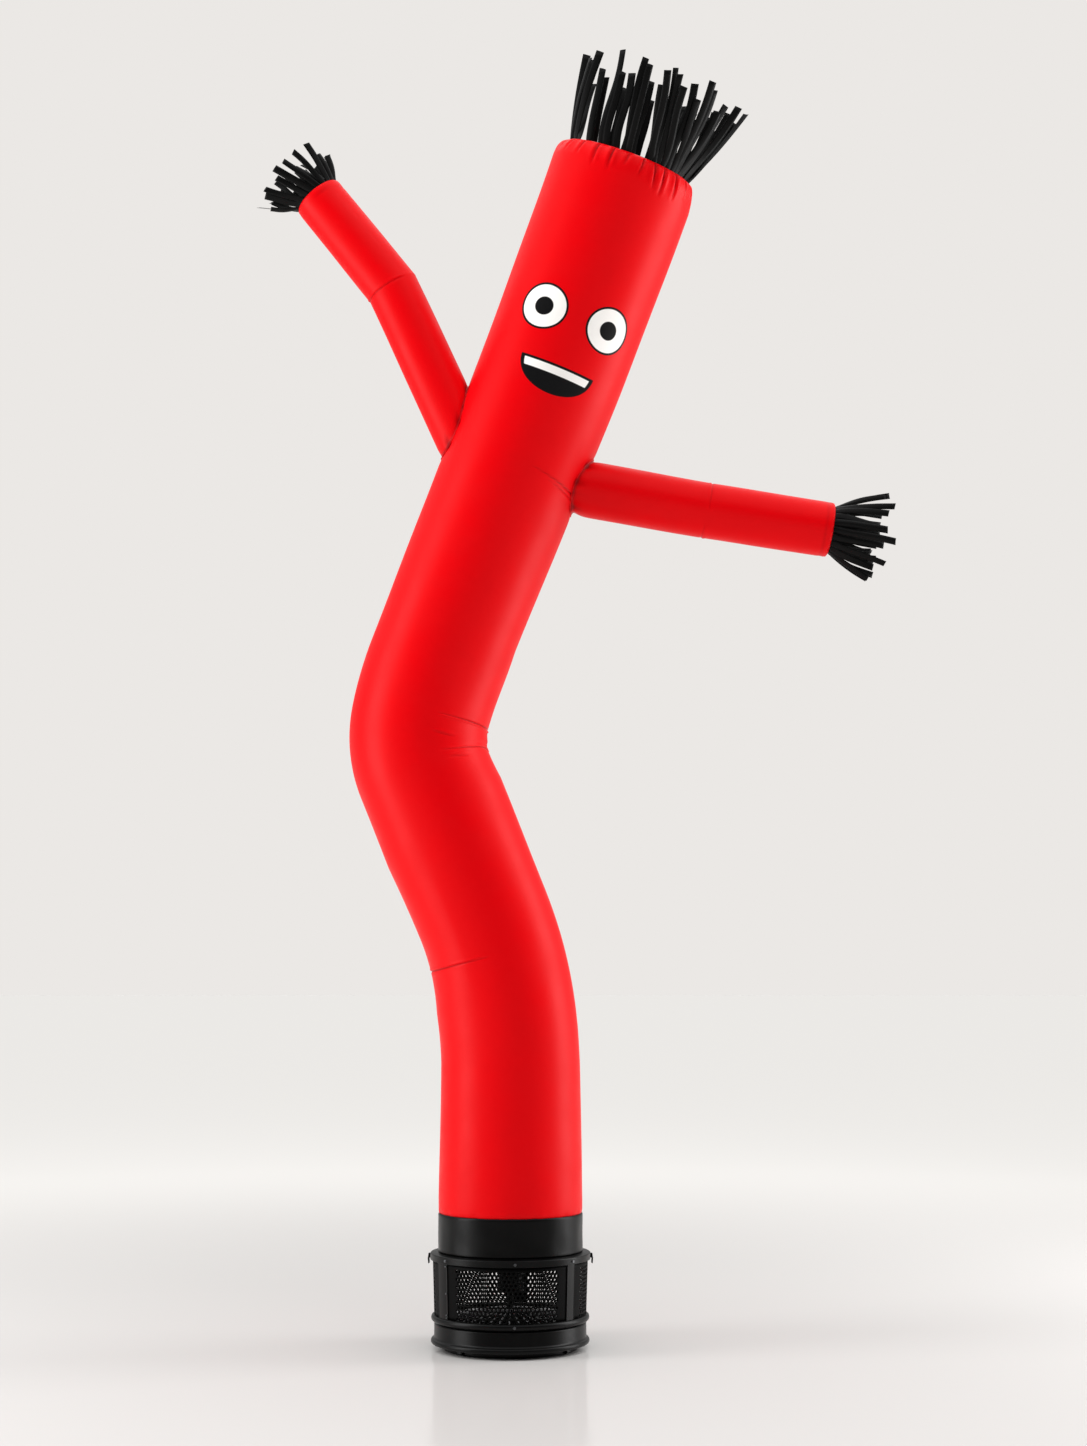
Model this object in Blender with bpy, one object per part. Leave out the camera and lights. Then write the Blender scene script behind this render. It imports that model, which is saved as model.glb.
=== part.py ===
"""Inflatable air dancer, blown up and leaning over, on its round blower.

Metres, +Z up. The figure faces -Y. The origin is the middle of the blower's flat underside.
A place round a tube or a ring is a compass angle: 0 is the front, 90 the right, 270 the left.
"""

import math
import random
from collections import namedtuple

import bmesh
import bpy
import numpy as np
from mathutils import Matrix, Vector

# Clearance between neighbours, and the thicknesses of the cloth and the ribbons
GAP = 0.0003
CLOTH = 0.0012
RIBBON_THICKNESS = 0.0012
BAND_THICKNESS = 0.0018

# Blower, from the floor up
PLINTH_RADIUS = 0.1520
PLINTH_TOP = 0.0125
FLANGE_RADIUS = 0.1761
FLANGE_HEIGHT = 0.0125
DRUM_RADIUS = 0.1690
DRUM_TOP = 0.0600
RIM_RADIUS = 0.1759
RIM_TOP = 0.0755
GUARD_FOOT_RADIUS = 0.1690
GUARD_HEAD_RADIUS = 0.1728
GUARD_SHEET = 0.0012
RING_RADIUS = 0.1785
RING_FOOT = 0.1950
RING_EDGE = 0.2095
RING_TOP = 0.2115
DUCT_TOP = 0.2800
DUCT_WALL = 0.0020
CONE_RADIUS = 0.1500
CONE_TOP_RADIUS = 0.0560
CONE_HEIGHT = 0.0620
MOTOR_RADIUS = 0.0500
MOTOR_TOP = 0.1860
TURNED_SIDES = 48

# Cuff between the blower and the tube
CUFF_RADIUS = 0.1615
CUFF_WALL = 0.0020
CUFF_TOP = 0.2955

# Uprights round the guard: compass angle of the middle, and the angle that each spans
Post = namedtuple("Post", "name middle span")
POSTS = (
    Post("left", 301.4, 14.0),
    Post("right", 50.5, 8.6),
    Post("back", 176.0, 14.0),
)
POST_THICKNESS = 0.0026

# Small fittings: compass angle and height of each
Fitting = namedtuple("Fitting", "name angle height")
SCREWS = (
    Fitting("ring_front", 4.1, 0.2015),
    Fitting("ring_left", 308.3, 0.2015),
    Fitting("ring_right", 50.5, 0.2015),
    Fitting("ring_back", 176.0, 0.2015),
    Fitting("rim_front", 3.8, 0.0685),
    Fitting("rim_back", 176.0, 0.0685),
)
SCREW_RADIUS = 0.0036
SCREW_HEAD = 0.0022
HOOK_ANGLES = {"left": 268.0, "right": 92.0}
CLIP_ANGLES = {"left": 317.0, "right": 54.0, "back": 185.0}

# The tube's run from the cuff up: length, turn to the right, lean towards the front (degrees)
Run = namedtuple("Run", "name length turn lean steps")
TUBE_RUN = (
    Run("leg", 0.3085, 0.0, 0.0, 2),
    Run("lower bend", 0.3682, -21.9, 0.0, 5),
    Run("shin", 0.3431, 0.0, 0.0, 2),
    Run("middle bend, sharp", 0.1243, 31.8, 0.0, 4),
    Run("middle bend, slack", 0.1429, 11.5, 0.0, 2),
    Run("chest", 0.6000, 0.0, 5.0, 3),
    Run("head", 0.6377, -1.3, 6.0, 3),
)
TUBE_FOOT = CUFF_TOP + GAP
RING_SPACING = 0.007
TUBE_SIDES = 48
ARM_SIDES = 28

# Radius of the tube at a length along it
Girth = namedtuple("Girth", "along radius")
TUBE_GIRTHS = (
    Girth(0.000, 0.1592),
    Girth(0.008, 0.1606),
    Girth(0.030, 0.1608),
    Girth(0.350, 0.1561),
    Girth(1.220, 0.1576),
    Girth(2.020, 0.1684),
    Girth(2.525, 0.1717),
)

# Rounded shoulder of the head, drawn in to the mouth by gathers: its height on the left and right
SHOULDER_LEFT = 0.036
SHOULDER_RIGHT = 0.062
MOUTH_RADIUS = 0.1465
GATHERS = 16
GATHER_DEPTH = 0.0050
MOUTH_WAVE = 0.0006

# Folds across the tube on the inner side of its bends, sharp or rounded. side and reach are angles
# round the tube, and width is half of the fold's width along the tube.
Fold = namedtuple("Fold", "along side reach width depth rounded")
TUBE_FOLDS = (
    Fold(0.585, 270.0, 75.0, 0.010, 0.0025, False),
    Fold(0.655, 270.0, 65.0, 0.190, 0.0078, True),
    Fold(1.010, 90.0, 70.0, 0.125, 0.0058, True),
    Fold(1.040, 90.0, 76.0, 0.010, 0.0020, False),
    Fold(1.151, 90.0, 76.0, 0.010, 0.0020, False),
)

# Arms: the elbow and the mouth of each, its direction at the root in degrees from upright towards
# the right, the depth at which its bore starts inside the tube, and its three radii
Arm = namedtuple("Arm", "name elbow hand direction reach_in root_radius elbow_radius hand_radius fold")
ARMS = (
    Arm("left", (-0.2788, -0.0290, 2.4189), (-0.4578, -0.0290, 2.6433), -24.6, 0.480,
        0.0632, 0.0620, 0.0600, Fold(0.0, 270.0, 80.0, 0.012, 0.0030, False)),
    Arm("right", (0.4532, -0.0190, 1.8909), (0.7394, -0.0190, 1.8450), 100.4, 0.400,
        0.0658, 0.0643, 0.0632, Fold(0.0, 90.0, 110.0, 0.012, 0.0020, False)),
)
HAND_LIP = 0.010
HAND_MOUTH_RADIUS = 0.0560

# Ribbons on the front half of each band, from its left side: length (mm), lean to the right (degrees)
Ribbon = namedtuple("Ribbon", "length lean")
HEAD_RIBBONS = tuple(Ribbon(*row) for row in (
    (143, 8), (192, 4), (207, 13), (170, 7), (221, 16), (173, 23), (178, 18), (216, 19),
    (204, 21), (170, 17), (171, 21), (199, 13), (209, 9), (198, 7), (177, 5), (193, 7),
    (165, 6), (214, 0), (202, 5), (168, -3), (166, -3), (190, 6), (205, 7), (207, 7),
))
LEFT_HAND_RIBBONS = tuple(Ribbon(*row) for row in (
    (70, -53), (86, -32), (93, -30), (83, -20), (101, -22), (98, -21), (102, -9), (102, 0),
    (70, -6), (66, 16),
))
RIGHT_HAND_RIBBONS = tuple(Ribbon(*row) for row in (
    (120, -16), (136, 0), (121, 8), (103, 8), (122, 4), (146, 4), (118, 0), (132, 7),
    (109, 3), (110, 21),
))
HEAD_RIBBON_WIDTH = 0.0162
HAND_RIBBON_WIDTH = 0.0145
HEAD_BAND_HEIGHT = 0.012
HAND_BAND_HEIGHT = 0.010
BAND_RISE = 0.0008
HEAD_SPREAD = 5.0
HAND_SPREAD = 6.0
LAYER_SPREAD = 5.0

RED = (0.78, 0.006, 0.012)
BLACK_CLOTH = (0.012, 0.012, 0.013)
BLACK_METAL = (0.020, 0.020, 0.021)


def clear_scene():
    """Remove every object that is there at the start."""
    for obj in list(bpy.data.objects):
        bpy.data.objects.remove(obj, do_unlink=True)


def make_material(name, colour, roughness, metallic=0.0):
    """Return a Principled material."""
    material = bpy.data.materials.new(name)
    material.use_nodes = True
    shader = material.node_tree.nodes["Principled BSDF"]
    shader.inputs["Base Color"].default_value = (*colour, 1.0)
    shader.inputs["Roughness"].default_value = roughness
    shader.inputs["Metallic"].default_value = metallic
    return material


def make_object(name, vertices, faces, material):
    """Return a smooth-shaded object with consistent normals."""
    mesh = bpy.data.meshes.new(name)
    mesh.from_pydata([tuple(map(float, point)) for point in vertices], [], faces)
    shell = bmesh.new()
    shell.from_mesh(mesh)
    bmesh.ops.recalc_face_normals(shell, faces=shell.faces)
    shell.to_mesh(mesh)
    shell.free()
    mesh.shade_smooth()
    mesh.set_sharp_from_angle(angle=math.radians(35))
    mesh.materials.append(material)
    obj = bpy.data.objects.new(name, mesh)
    bpy.context.collection.objects.link(obj)
    return obj


def hide_helper(obj):
    """Keep a cutting body out of the finished model."""
    obj.hide_render = True
    obj.display_type = "WIRE"


def add_cut(obj, cutter):
    """Cut one object by another."""
    cut = obj.modifiers.new("cut", "BOOLEAN")
    cut.operation = "DIFFERENCE"
    cut.object = cutter


def add_thickness(obj, thickness):
    """Give an open sheet its thickness, inwards."""
    solid = obj.modifiers.new("cloth", "SOLIDIFY")
    solid.thickness = thickness
    solid.offset = -1.0
    solid.use_even_offset = True
    solid.use_rim = True


# ---------------------------------------------------------------- paths and rings


def tube_path(along):
    """Return centre, rightward and backward axes of the tube at each length along it.

    Heading and lean change evenly within a run, so each bend is an arc. The centreline is the
    running sum of its direction in short steps.
    """
    ends = np.concatenate([[0.0], np.cumsum([run.length for run in TUBE_RUN])])
    headings = np.radians(np.concatenate([[0.0], np.cumsum([run.turn for run in TUBE_RUN])]))
    leans = np.radians(np.concatenate([[0.0], np.cumsum([run.lean for run in TUBE_RUN])]))
    fine = np.linspace(0.0, ends[-1], 2001)
    heading = np.interp(fine, ends, headings)
    lean = np.interp(fine, ends, leans)
    direction = np.stack(
        [np.sin(heading) * np.cos(lean), -np.sin(lean), np.cos(heading) * np.cos(lean)], axis=1
    )
    steps = (direction[1:] + direction[:-1]) / 2 * np.diff(fine)[:, None]
    centre = np.concatenate([[[0.0, 0.0, TUBE_FOOT]], steps]).cumsum(axis=0)
    at = np.stack([np.interp(along, fine, centre[:, axis]) for axis in range(3)], axis=1)
    turned = np.interp(along, ends, headings)
    tipped = np.interp(along, ends, leans)
    right = np.stack([np.cos(turned), 0 * turned, -np.sin(turned)], axis=1)
    back = np.stack(
        [np.sin(tipped) * np.sin(turned), np.cos(tipped), np.sin(tipped) * np.cos(turned)], axis=1
    )
    return at, right, back


def tube_length():
    """Return the tube's whole length."""
    return sum(run.length for run in TUBE_RUN)


def angle_from(angles, middle):
    """Return how far each compass angle is from a middle one, 0 to 180 degrees."""
    return np.abs((angles - middle + 180.0) % 360.0 - 180.0)


def fold_depth(fold, along, angles):
    """Return how deep a fold presses in: a V or a dish along the tube that fades out round it."""
    across = np.clip(1.0 - (np.abs(along - fold.along) / fold.width) ** (1 + fold.rounded), 0.0, 1.0)
    share = np.clip(angle_from(angles, fold.side) / fold.reach, 0.0, 1.0)
    return fold.depth * across[:, None] * np.cos(share * math.pi / 2)[None, :]


def gather_depths(angles):
    """Return the depth of the shoulder's uneven gathers at each angle, 0 to 1."""
    uneven = random.Random(4)
    depth = np.zeros_like(angles)
    pitch = 360.0 / GATHERS
    for index in range(GATHERS):
        middle = (index + uneven.uniform(-0.22, 0.22)) * pitch
        strength = uneven.uniform(0.5, 1.0)
        pinch = np.clip(1.0 - angle_from(angles, middle) / (0.55 * pitch), 0.0, 1.0)
        depth = np.maximum(depth, strength * pinch)
    return depth


def shoulder_rise(along, angles):
    """Return how far up the shoulder each place is, 0 to 1. The shoulder is taller on the right."""
    middle, lop = (SHOULDER_RIGHT + SHOULDER_LEFT) / 2, (SHOULDER_RIGHT - SHOULDER_LEFT) / 2
    height = (middle + lop * np.sin(np.radians(angles)))[None, :]
    return np.clip((along[:, None] - tube_length() + height) / height, 0.0, 1.0)


def tube_radii(along, angles):
    """Return the tube's radius on a grid of lengths by angles."""
    girth = np.interp(along, [g.along for g in TUBE_GIRTHS], [g.radius for g in TUBE_GIRTHS])
    rise = shoulder_rise(along, angles)
    radii = girth[:, None] - (girth - MOUTH_RADIUS)[:, None] * (1.0 - np.sqrt(1.0 - rise**2))
    for fold in TUBE_FOLDS:
        radii -= fold_depth(fold, along, angles)
    strength = GATHER_DEPTH * np.sin(rise * math.pi) ** 0.7 + MOUTH_WAVE * rise**4
    return radii - strength * gather_depths(angles)[None, :]


def tube_stations():
    """Return the lengths at which the tube has a ring: its runs, its folds, its foot and shoulder."""
    ends = np.cumsum([0.0] + [run.length for run in TUBE_RUN])
    places = [girth.along for girth in TUBE_GIRTHS[:3]]
    for run, end in zip(TUBE_RUN, ends[1:]):
        places += [end - run.length * step / run.steps for step in range(run.steps)]
    creases, dishes = [], []
    for fold in TUBE_FOLDS:
        if fold.rounded:
            dishes += [fold.along + share * fold.width for share in (-1.0, 0.5, 1.0)]
        else:
            creases += [fold.along + share * fold.width for share in (-1.0, 0.0, 1.0)]
    shoulder = [ends[-1] - SHOULDER_RIGHT * fall for fall in (1.0, 0.7, 0.45, 0.25, 0.12, 0.04)]
    kept = creases + shoulder
    for place in places + dishes:
        if all(abs(place - other) > RING_SPACING for other in kept):
            kept.append(place)
    return np.array(sorted(kept + [ends[-1]]))


def ring_points(centre, right, back, angles, radii):
    """Return rings of points: out from each centre by the radius at each compass angle."""
    turn = np.radians(angles)
    outwards = (
        np.sin(turn)[None, :, None] * right[:, None, :]
        - np.cos(turn)[None, :, None] * back[:, None, :]
    )
    return centre[:, None, :] + radii[:, :, None] * outwards


def tube_angles(sides):
    """Return evenly spaced compass angles."""
    return np.arange(sides) * 360.0 / sides


def sleeve_mesh(rings, capped=False):
    """Return vertices and faces of a sleeve through the rings, open or closed at its ends."""
    count, sides, _ = rings.shape
    faces = []
    for row in range(count - 1):
        for side in range(sides):
            following = (side + 1) % sides
            low, high = row * sides, (row + 1) * sides
            faces.append((low + side, low + following, high + following, high + side))
    if capped:
        faces.append(tuple(range(sides)))
        faces.append(tuple((count - 1) * sides + side for side in range(sides)))
    return rings.reshape(-1, 3), faces


def face_outwards(obj, inside):
    """Turn an open sleeve's faces away from a point on its axis."""
    mesh = obj.data
    nearest = min(mesh.polygons, key=lambda face: (face.center - Vector(inside)).length)
    if (nearest.center - Vector(inside)).dot(nearest.normal) < 0:
        mesh.flip_normals()


# ---------------------------------------------------------------- cloth pieces


def tube_rings(grow=0.0):
    """Return the tube's rings, grown outwards by a clearance."""
    along = tube_stations()
    angles = tube_angles(TUBE_SIDES)
    centre, right, back = tube_path(along)
    return ring_points(centre, right, back, angles, tube_radii(along, angles) + grow)


def build_tube(material):
    """Return the tube of the body, a hollow cloth sleeve."""
    tube = make_object("body_tube", *sleeve_mesh(tube_rings()), material)
    centre, _, _ = tube_path(np.array([0.0]))
    face_outwards(tube, centre[0])
    add_thickness(tube, CLOTH)
    return tube


def arm_axes(heading):
    """Return the direction, rightward and backward axes of an arm with this heading."""
    turn = math.radians(heading)
    direction = np.array([math.sin(turn), 0.0, math.cos(turn)])
    right = np.array([math.cos(turn), 0.0, -math.sin(turn)])
    return direction, right, np.array([0.0, 1.0, 0.0])


def forearm_heading(arm):
    """Return the heading of the forearm, from elbow to hand."""
    return math.degrees(math.atan2(arm.hand[0] - arm.elbow[0], arm.hand[2] - arm.elbow[2]))


def arm_rings(arm, inset=0.0):
    """Return an arm's rings from inside the tube to its hand, mitred at the elbow."""
    angles = tube_angles(ARM_SIDES)
    elbow, hand = np.array(arm.elbow), np.array(arm.hand)
    upper, upper_right, back = arm_axes(arm.direction)
    heading = forearm_heading(arm)
    lower, lower_right, _ = arm_axes(heading)
    _, mitre_right, _ = arm_axes((arm.direction + heading) / 2)
    length = float(np.linalg.norm(hand - elbow))
    fold = arm.fold
    rows = (
        (elbow - upper * arm.reach_in, upper_right, arm.root_radius, 0.0),
        (elbow - upper * fold.width, upper_right, arm.elbow_radius, 0.0),
        (elbow, mitre_right, arm.elbow_radius, 1.0),
        (elbow + lower * fold.width, lower_right, arm.elbow_radius, 0.0),
        (elbow + lower * (length - HAND_LIP), lower_right, arm.hand_radius, 0.0),
        (elbow + lower * (length - HAND_LIP * 0.4), lower_right, arm.hand_radius - 0.0012, 0.0),
        (hand, lower_right, HAND_MOUTH_RADIUS, 0.0),
    )
    centre = np.array([row[0] for row in rows])
    right = np.array([row[1] for row in rows])
    share = np.clip(angle_from(angles, fold.side) / fold.reach, 0.0, 1.0)
    pressed = fold.depth * np.cos(share * math.pi / 2)
    radii = np.array([row[2] - inset - row[3] * pressed for row in rows])
    return ring_points(centre, right, np.repeat(back[None], len(rows), axis=0), angles, radii)


def build_arms(tube, material):
    """Return both arms, each fitted against the tube, and cut the tube's holes for their air."""
    envelope = make_object("tube_envelope", *sleeve_mesh(tube_rings(GAP), capped=True), material)
    hide_helper(envelope)
    arms = []
    for arm in ARMS:
        sleeve = make_object("arm_" + arm.name, *sleeve_mesh(arm_rings(arm)), material)
        face_outwards(sleeve, arm.elbow)
        add_thickness(sleeve, CLOTH)
        add_cut(sleeve, envelope)
        bore_rings = arm_rings(arm, CLOTH)[:2]
        bore = make_object("bore_" + arm.name, *sleeve_mesh(bore_rings, capped=True), material)
        hide_helper(bore)
        add_cut(tube, bore)
        arms.append(sleeve)
    return arms


# ---------------------------------------------------------------- ribbon fringes


def back_ribbons(front, spread, uneven):
    """Return ribbons for the back half of a band, from its right side, in the manner of the front."""
    lengths = sorted(ribbon.length for ribbon in front)
    rows = []
    for ribbon in reversed(front):
        length = uneven.uniform(lengths[1], lengths[-2])
        rows.append(Ribbon(length, ribbon.lean * 0.8 + uneven.uniform(-spread, spread) / 2))
    return rows


def fringe_mesh(centre, axes, band, front, width, spread, seed):
    """Return vertices and faces of a band with a row of ribbons that grow out of its top edge.

    The band is a ring of cells, a ribbon's and a gap's in turn. Each ribbon is its cell's top face
    carried along a path that leans and opens out, in three layers so that neighbours cross clear.
    """
    direction, right, back = (np.array(axis) for axis in axes)
    radius, height = band
    uneven = random.Random(seed)
    ribbons = list(front) + back_ribbons(front, spread, uneven)
    count = len(ribbons)
    pitch = 360.0 / count
    share = width / (2 * math.pi * radius / count)
    first = 270.0 + pitch / 2
    edges = []
    for index in range(count):
        middle = first + index * pitch
        edges += [middle - share * pitch / 2, middle + share * pitch / 2]
    vertices, faces = [], []

    def outward(angle):
        turn = math.radians(angle)
        return math.sin(turn) * right - math.cos(turn) * back

    for angle in edges:
        for level in (-height, 0.0):
            for depth in (radius - BAND_THICKNESS, radius):
                vertices.append(centre + direction * level + outward(angle) * depth)
    for cell in range(2 * count):
        here, there = cell * 4, (cell + 1) % (2 * count) * 4
        faces.append((here, there, there + 1, here + 1))
        faces.append((here + 1, there + 1, there + 3, here + 3))
        faces.append((here, here + 2, there + 2, there))
        if cell % 2:
            faces.append((here + 2, here + 3, there + 3, there + 2))
            continue
        ribbon = ribbons[cell // 2]
        middle = first + cell // 2 * pitch
        out = outward(middle)
        sideways = outward(middle + 90.0)
        opening = math.radians(spread + LAYER_SPREAD * (cell // 2 % 3))
        lean = math.radians(ribbon.lean)
        twist = math.radians(uneven.uniform(-35.0, 35.0))
        length = ribbon.length / 1000.0
        steps = 4 if length > 0.14 else 3
        profile = (here + 2, there + 2, there + 3, here + 3)
        place = centre + out * (radius - BAND_THICKNESS / 2)
        for step in range(1, steps + 1):
            share_along = (step - 0.5) / steps
            leaning = lean * (0.5 + share_along)
            opened = opening * (0.5 + share_along)
            course = direction + math.tan(leaning) * right + math.tan(opened) * out
            course /= np.linalg.norm(course)
            place = place + course * length / steps
            turned = twist * step / steps
            across = sideways * math.cos(turned) + out * math.sin(turned)
            across -= course * across.dot(course)
            across /= np.linalg.norm(across)
            through = np.cross(across, course)
            through *= math.copysign(1.0, through.dot(out * math.cos(turned) - sideways * math.sin(turned)))
            start = len(vertices)
            for along_width, through_it in ((-1, -1), (1, -1), (1, 1), (-1, 1)):
                vertices.append(
                    place + across * along_width * width / 2 + through * through_it * RIBBON_THICKNESS / 2
                )
            following = tuple(range(start, start + 4))
            for side in range(4):
                after = (side + 1) % 4
                faces.append((profile[side], profile[after], following[after], following[side]))
            profile = following
        faces.append(profile)
    return vertices, faces


def build_fringes(material):
    """Return the fringes of the head and of both hands."""
    centre, right, back = (axis[0] for axis in tube_path(np.array([tube_length()])))
    direction = np.cross(right, back)
    inside = math.cos(math.pi / TUBE_SIDES)
    head_radius = (MOUTH_RADIUS - MOUTH_WAVE - 0.35 * CLOTH) * inside - GAP - 0.0001
    fringes = [make_object("head_fringe", *fringe_mesh(
        centre + direction * BAND_RISE, (direction, right, back), (head_radius, HEAD_BAND_HEIGHT),
        HEAD_RIBBONS, HEAD_RIBBON_WIDTH, HEAD_SPREAD, 11), material)]
    for arm, front, seed in zip(ARMS, (LEFT_HAND_RIBBONS, RIGHT_HAND_RIBBONS), (21, 31)):
        direction, right, back = arm_axes(forearm_heading(arm))
        lip = HAND_LIP * 0.4
        lip_wall = CLOTH * lip / math.hypot(lip, arm.hand_radius - 0.0012 - HAND_MOUTH_RADIUS)
        hand_radius = (HAND_MOUTH_RADIUS - lip_wall) * math.cos(math.pi / ARM_SIDES) - GAP - 0.0001
        fringes.append(make_object("hand_fringe_" + arm.name, *fringe_mesh(
            np.array(arm.hand) + direction * BAND_RISE, (direction, right, back),
            (hand_radius, HAND_BAND_HEIGHT), front, HAND_RIBBON_WIDTH, HAND_SPREAD, seed), material))
    return fringes


# ---------------------------------------------------------------- blower


def build_turned(name, outline, material, sides=TURNED_SIDES):
    """Return a turned piece: a closed outline of (radius, height) carried round the upright axis."""
    angles = np.radians(tube_angles(sides))
    vertices, rows = [], []
    for radius, height in outline:
        if radius == 0.0:
            rows.append([len(vertices)] * sides)
            vertices.append((0.0, 0.0, height))
            continue
        rows.append(list(range(len(vertices), len(vertices) + sides)))
        vertices += [(radius * math.sin(a), -radius * math.cos(a), height) for a in angles]
    faces = []
    for index, row in enumerate(rows):
        following = rows[(index + 1) % len(rows)]
        for side in range(sides):
            after = (side + 1) % sides
            corners = (row[side], row[after], following[after], following[side])
            distinct = tuple(dict.fromkeys(corners))
            if len(distinct) > 2:
                faces.append(distinct)
    return make_object(name, vertices, faces, material)


def build_arc_plate(name, middle, span, radii, heights, material, steps=4):
    """Return a plate bent round the upright axis: radii are its inner and outer faces at each height."""
    vertices, faces = [], []
    for step in range(steps + 1):
        angle = math.radians(middle + span * (step / steps - 0.5))
        for height, (inner, outer) in zip(heights, radii):
            for radius in (inner, outer):
                vertices.append((radius * math.sin(angle), -radius * math.cos(angle), height))
    for step in range(steps):
        here, there = step * 4, step * 4 + 4
        for one, other in ((0, 1), (1, 3), (3, 2), (2, 0)):
            faces.append((here + one, here + other, there + other, there + one))
    faces.append((0, 1, 3, 2))
    faces.append(tuple(steps * 4 + corner for corner in (0, 2, 3, 1)))
    return make_object(name, vertices, faces, material)


def build_bracket(name, outline, angle, width, material):
    """Return a small bracket: an outline of (radius, height) given a width across its radius."""
    turn = math.radians(angle)
    out = Vector((math.sin(turn), -math.cos(turn), 0.0))
    across = Vector((math.cos(turn), math.sin(turn), 0.0))
    up = Vector((0.0, 0.0, 1.0))
    vertices = [
        out * radius + up * height + across * side * width / 2
        for side in (-1, 1)
        for radius, height in outline
    ]
    count = len(outline)
    faces = [tuple(range(count)), tuple(range(count, 2 * count))]
    for index in range(count):
        after = (index + 1) % count
        faces.append((index, after, count + after, count + index))
    return make_object(name, vertices, faces, material)


def build_screw(name, angle, height, seat, material):
    """Return a screw head that sits on an upright face at this distance from the axis."""
    turn = math.radians(angle)
    shape = bmesh.new()
    bmesh.ops.create_cone(
        shape, cap_ends=True, segments=10, radius1=SCREW_RADIUS, radius2=SCREW_RADIUS * 0.75,
        depth=SCREW_HEAD,
    )
    place = seat + GAP + SCREW_HEAD / 2
    bmesh.ops.transform(
        shape,
        matrix=Matrix.Translation((place * math.sin(turn), -place * math.cos(turn), height))
        @ Matrix.Rotation(turn, 4, "Z")
        @ Matrix.Rotation(math.radians(90), 4, "X"),
        verts=shape.verts,
    )
    mesh = bpy.data.meshes.new(name)
    shape.to_mesh(mesh)
    shape.free()
    mesh.materials.append(material)
    obj = bpy.data.objects.new(name, mesh)
    bpy.context.collection.objects.link(obj)
    return obj


def guard_radius(height):
    """Return the guard's outer radius at a height: it opens a little towards the top."""
    rise = (height - RIM_TOP) / (RING_FOOT - RIM_TOP)
    return GUARD_FOOT_RADIUS + (GUARD_HEAD_RADIUS - GUARD_FOOT_RADIUS) * rise


def build_blower(material):
    """Return the blower's pieces, from the floor up."""
    build_turned("base_plinth", (
        (0.0, 0.0), (PLINTH_RADIUS - 0.005, 0.0), (PLINTH_RADIUS - 0.001, 0.003),
        (PLINTH_RADIUS, 0.007), (PLINTH_RADIUS, PLINTH_TOP - GAP), (0.0, PLINTH_TOP - GAP),
    ), material)
    bead = PLINTH_TOP + FLANGE_HEIGHT / 2
    build_turned("base_drum", (
        (0.0, PLINTH_TOP), (FLANGE_RADIUS - 0.006, PLINTH_TOP), (FLANGE_RADIUS - 0.001, PLINTH_TOP + 0.002),
        (FLANGE_RADIUS, bead), (FLANGE_RADIUS - 0.002, PLINTH_TOP + FLANGE_HEIGHT - 0.002),
        (DRUM_RADIUS, PLINTH_TOP + FLANGE_HEIGHT), (DRUM_RADIUS, DRUM_TOP - 0.002),
        (DRUM_RADIUS - 0.002, DRUM_TOP), (0.0, DRUM_TOP),
    ), material)
    rim_foot = DRUM_TOP + GAP
    rim_inner = GUARD_FOOT_RADIUS - 0.010
    build_turned("guard_rim", (
        (rim_inner, rim_foot), (DRUM_RADIUS - 0.002, rim_foot), (RIM_RADIUS - 0.002, rim_foot + 0.003),
        (RIM_RADIUS, rim_foot + 0.008), (RIM_RADIUS - 0.001, RIM_TOP - 0.003),
        (RIM_RADIUS - 0.003, RIM_TOP), (rim_inner, RIM_TOP),
    ), material)
    cone_top = DRUM_TOP + GAP + CONE_HEIGHT
    build_turned("intake_cone", (
        (0.0, DRUM_TOP + GAP), (CONE_RADIUS, DRUM_TOP + GAP), (CONE_RADIUS, DRUM_TOP + GAP + 0.004),
        (CONE_TOP_RADIUS, cone_top), (0.0, cone_top),
    ), material, 36)
    build_turned("motor", (
        (0.0, cone_top + GAP), (MOTOR_RADIUS, cone_top + GAP), (MOTOR_RADIUS, MOTOR_TOP - 0.006),
        (MOTOR_RADIUS - 0.006, MOTOR_TOP), (0.0, MOTOR_TOP),
    ), material, 32)
    build_turned("intake_guard", (
        (guard_radius(RIM_TOP) - GUARD_SHEET, RIM_TOP + GAP), (guard_radius(RIM_TOP), RIM_TOP + GAP),
        (guard_radius(RING_FOOT), RING_FOOT - GAP), (guard_radius(RING_FOOT) - GUARD_SHEET, RING_FOOT - GAP),
    ), material)
    duct_outer = CUFF_RADIUS - CUFF_WALL - GAP
    build_turned("outlet_ring", (
        (duct_outer - DUCT_WALL, RING_FOOT), (RING_RADIUS, RING_FOOT), (RING_RADIUS, RING_EDGE - 0.001),
        (RING_RADIUS - 0.0015, RING_EDGE), (CUFF_RADIUS, RING_TOP), (duct_outer, RING_TOP),
        (duct_outer, DUCT_TOP), (duct_outer - DUCT_WALL, DUCT_TOP),
    ), material)
    for post in POSTS:
        foot, head = RIM_TOP + GAP, RING_FOOT - GAP
        radii = [(guard_radius(level) + GAP * 2, guard_radius(level) + POST_THICKNESS) for level in (foot, head)]
        build_arc_plate("guard_post_" + post.name, post.middle, post.span, radii, (foot, head), material)


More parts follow.
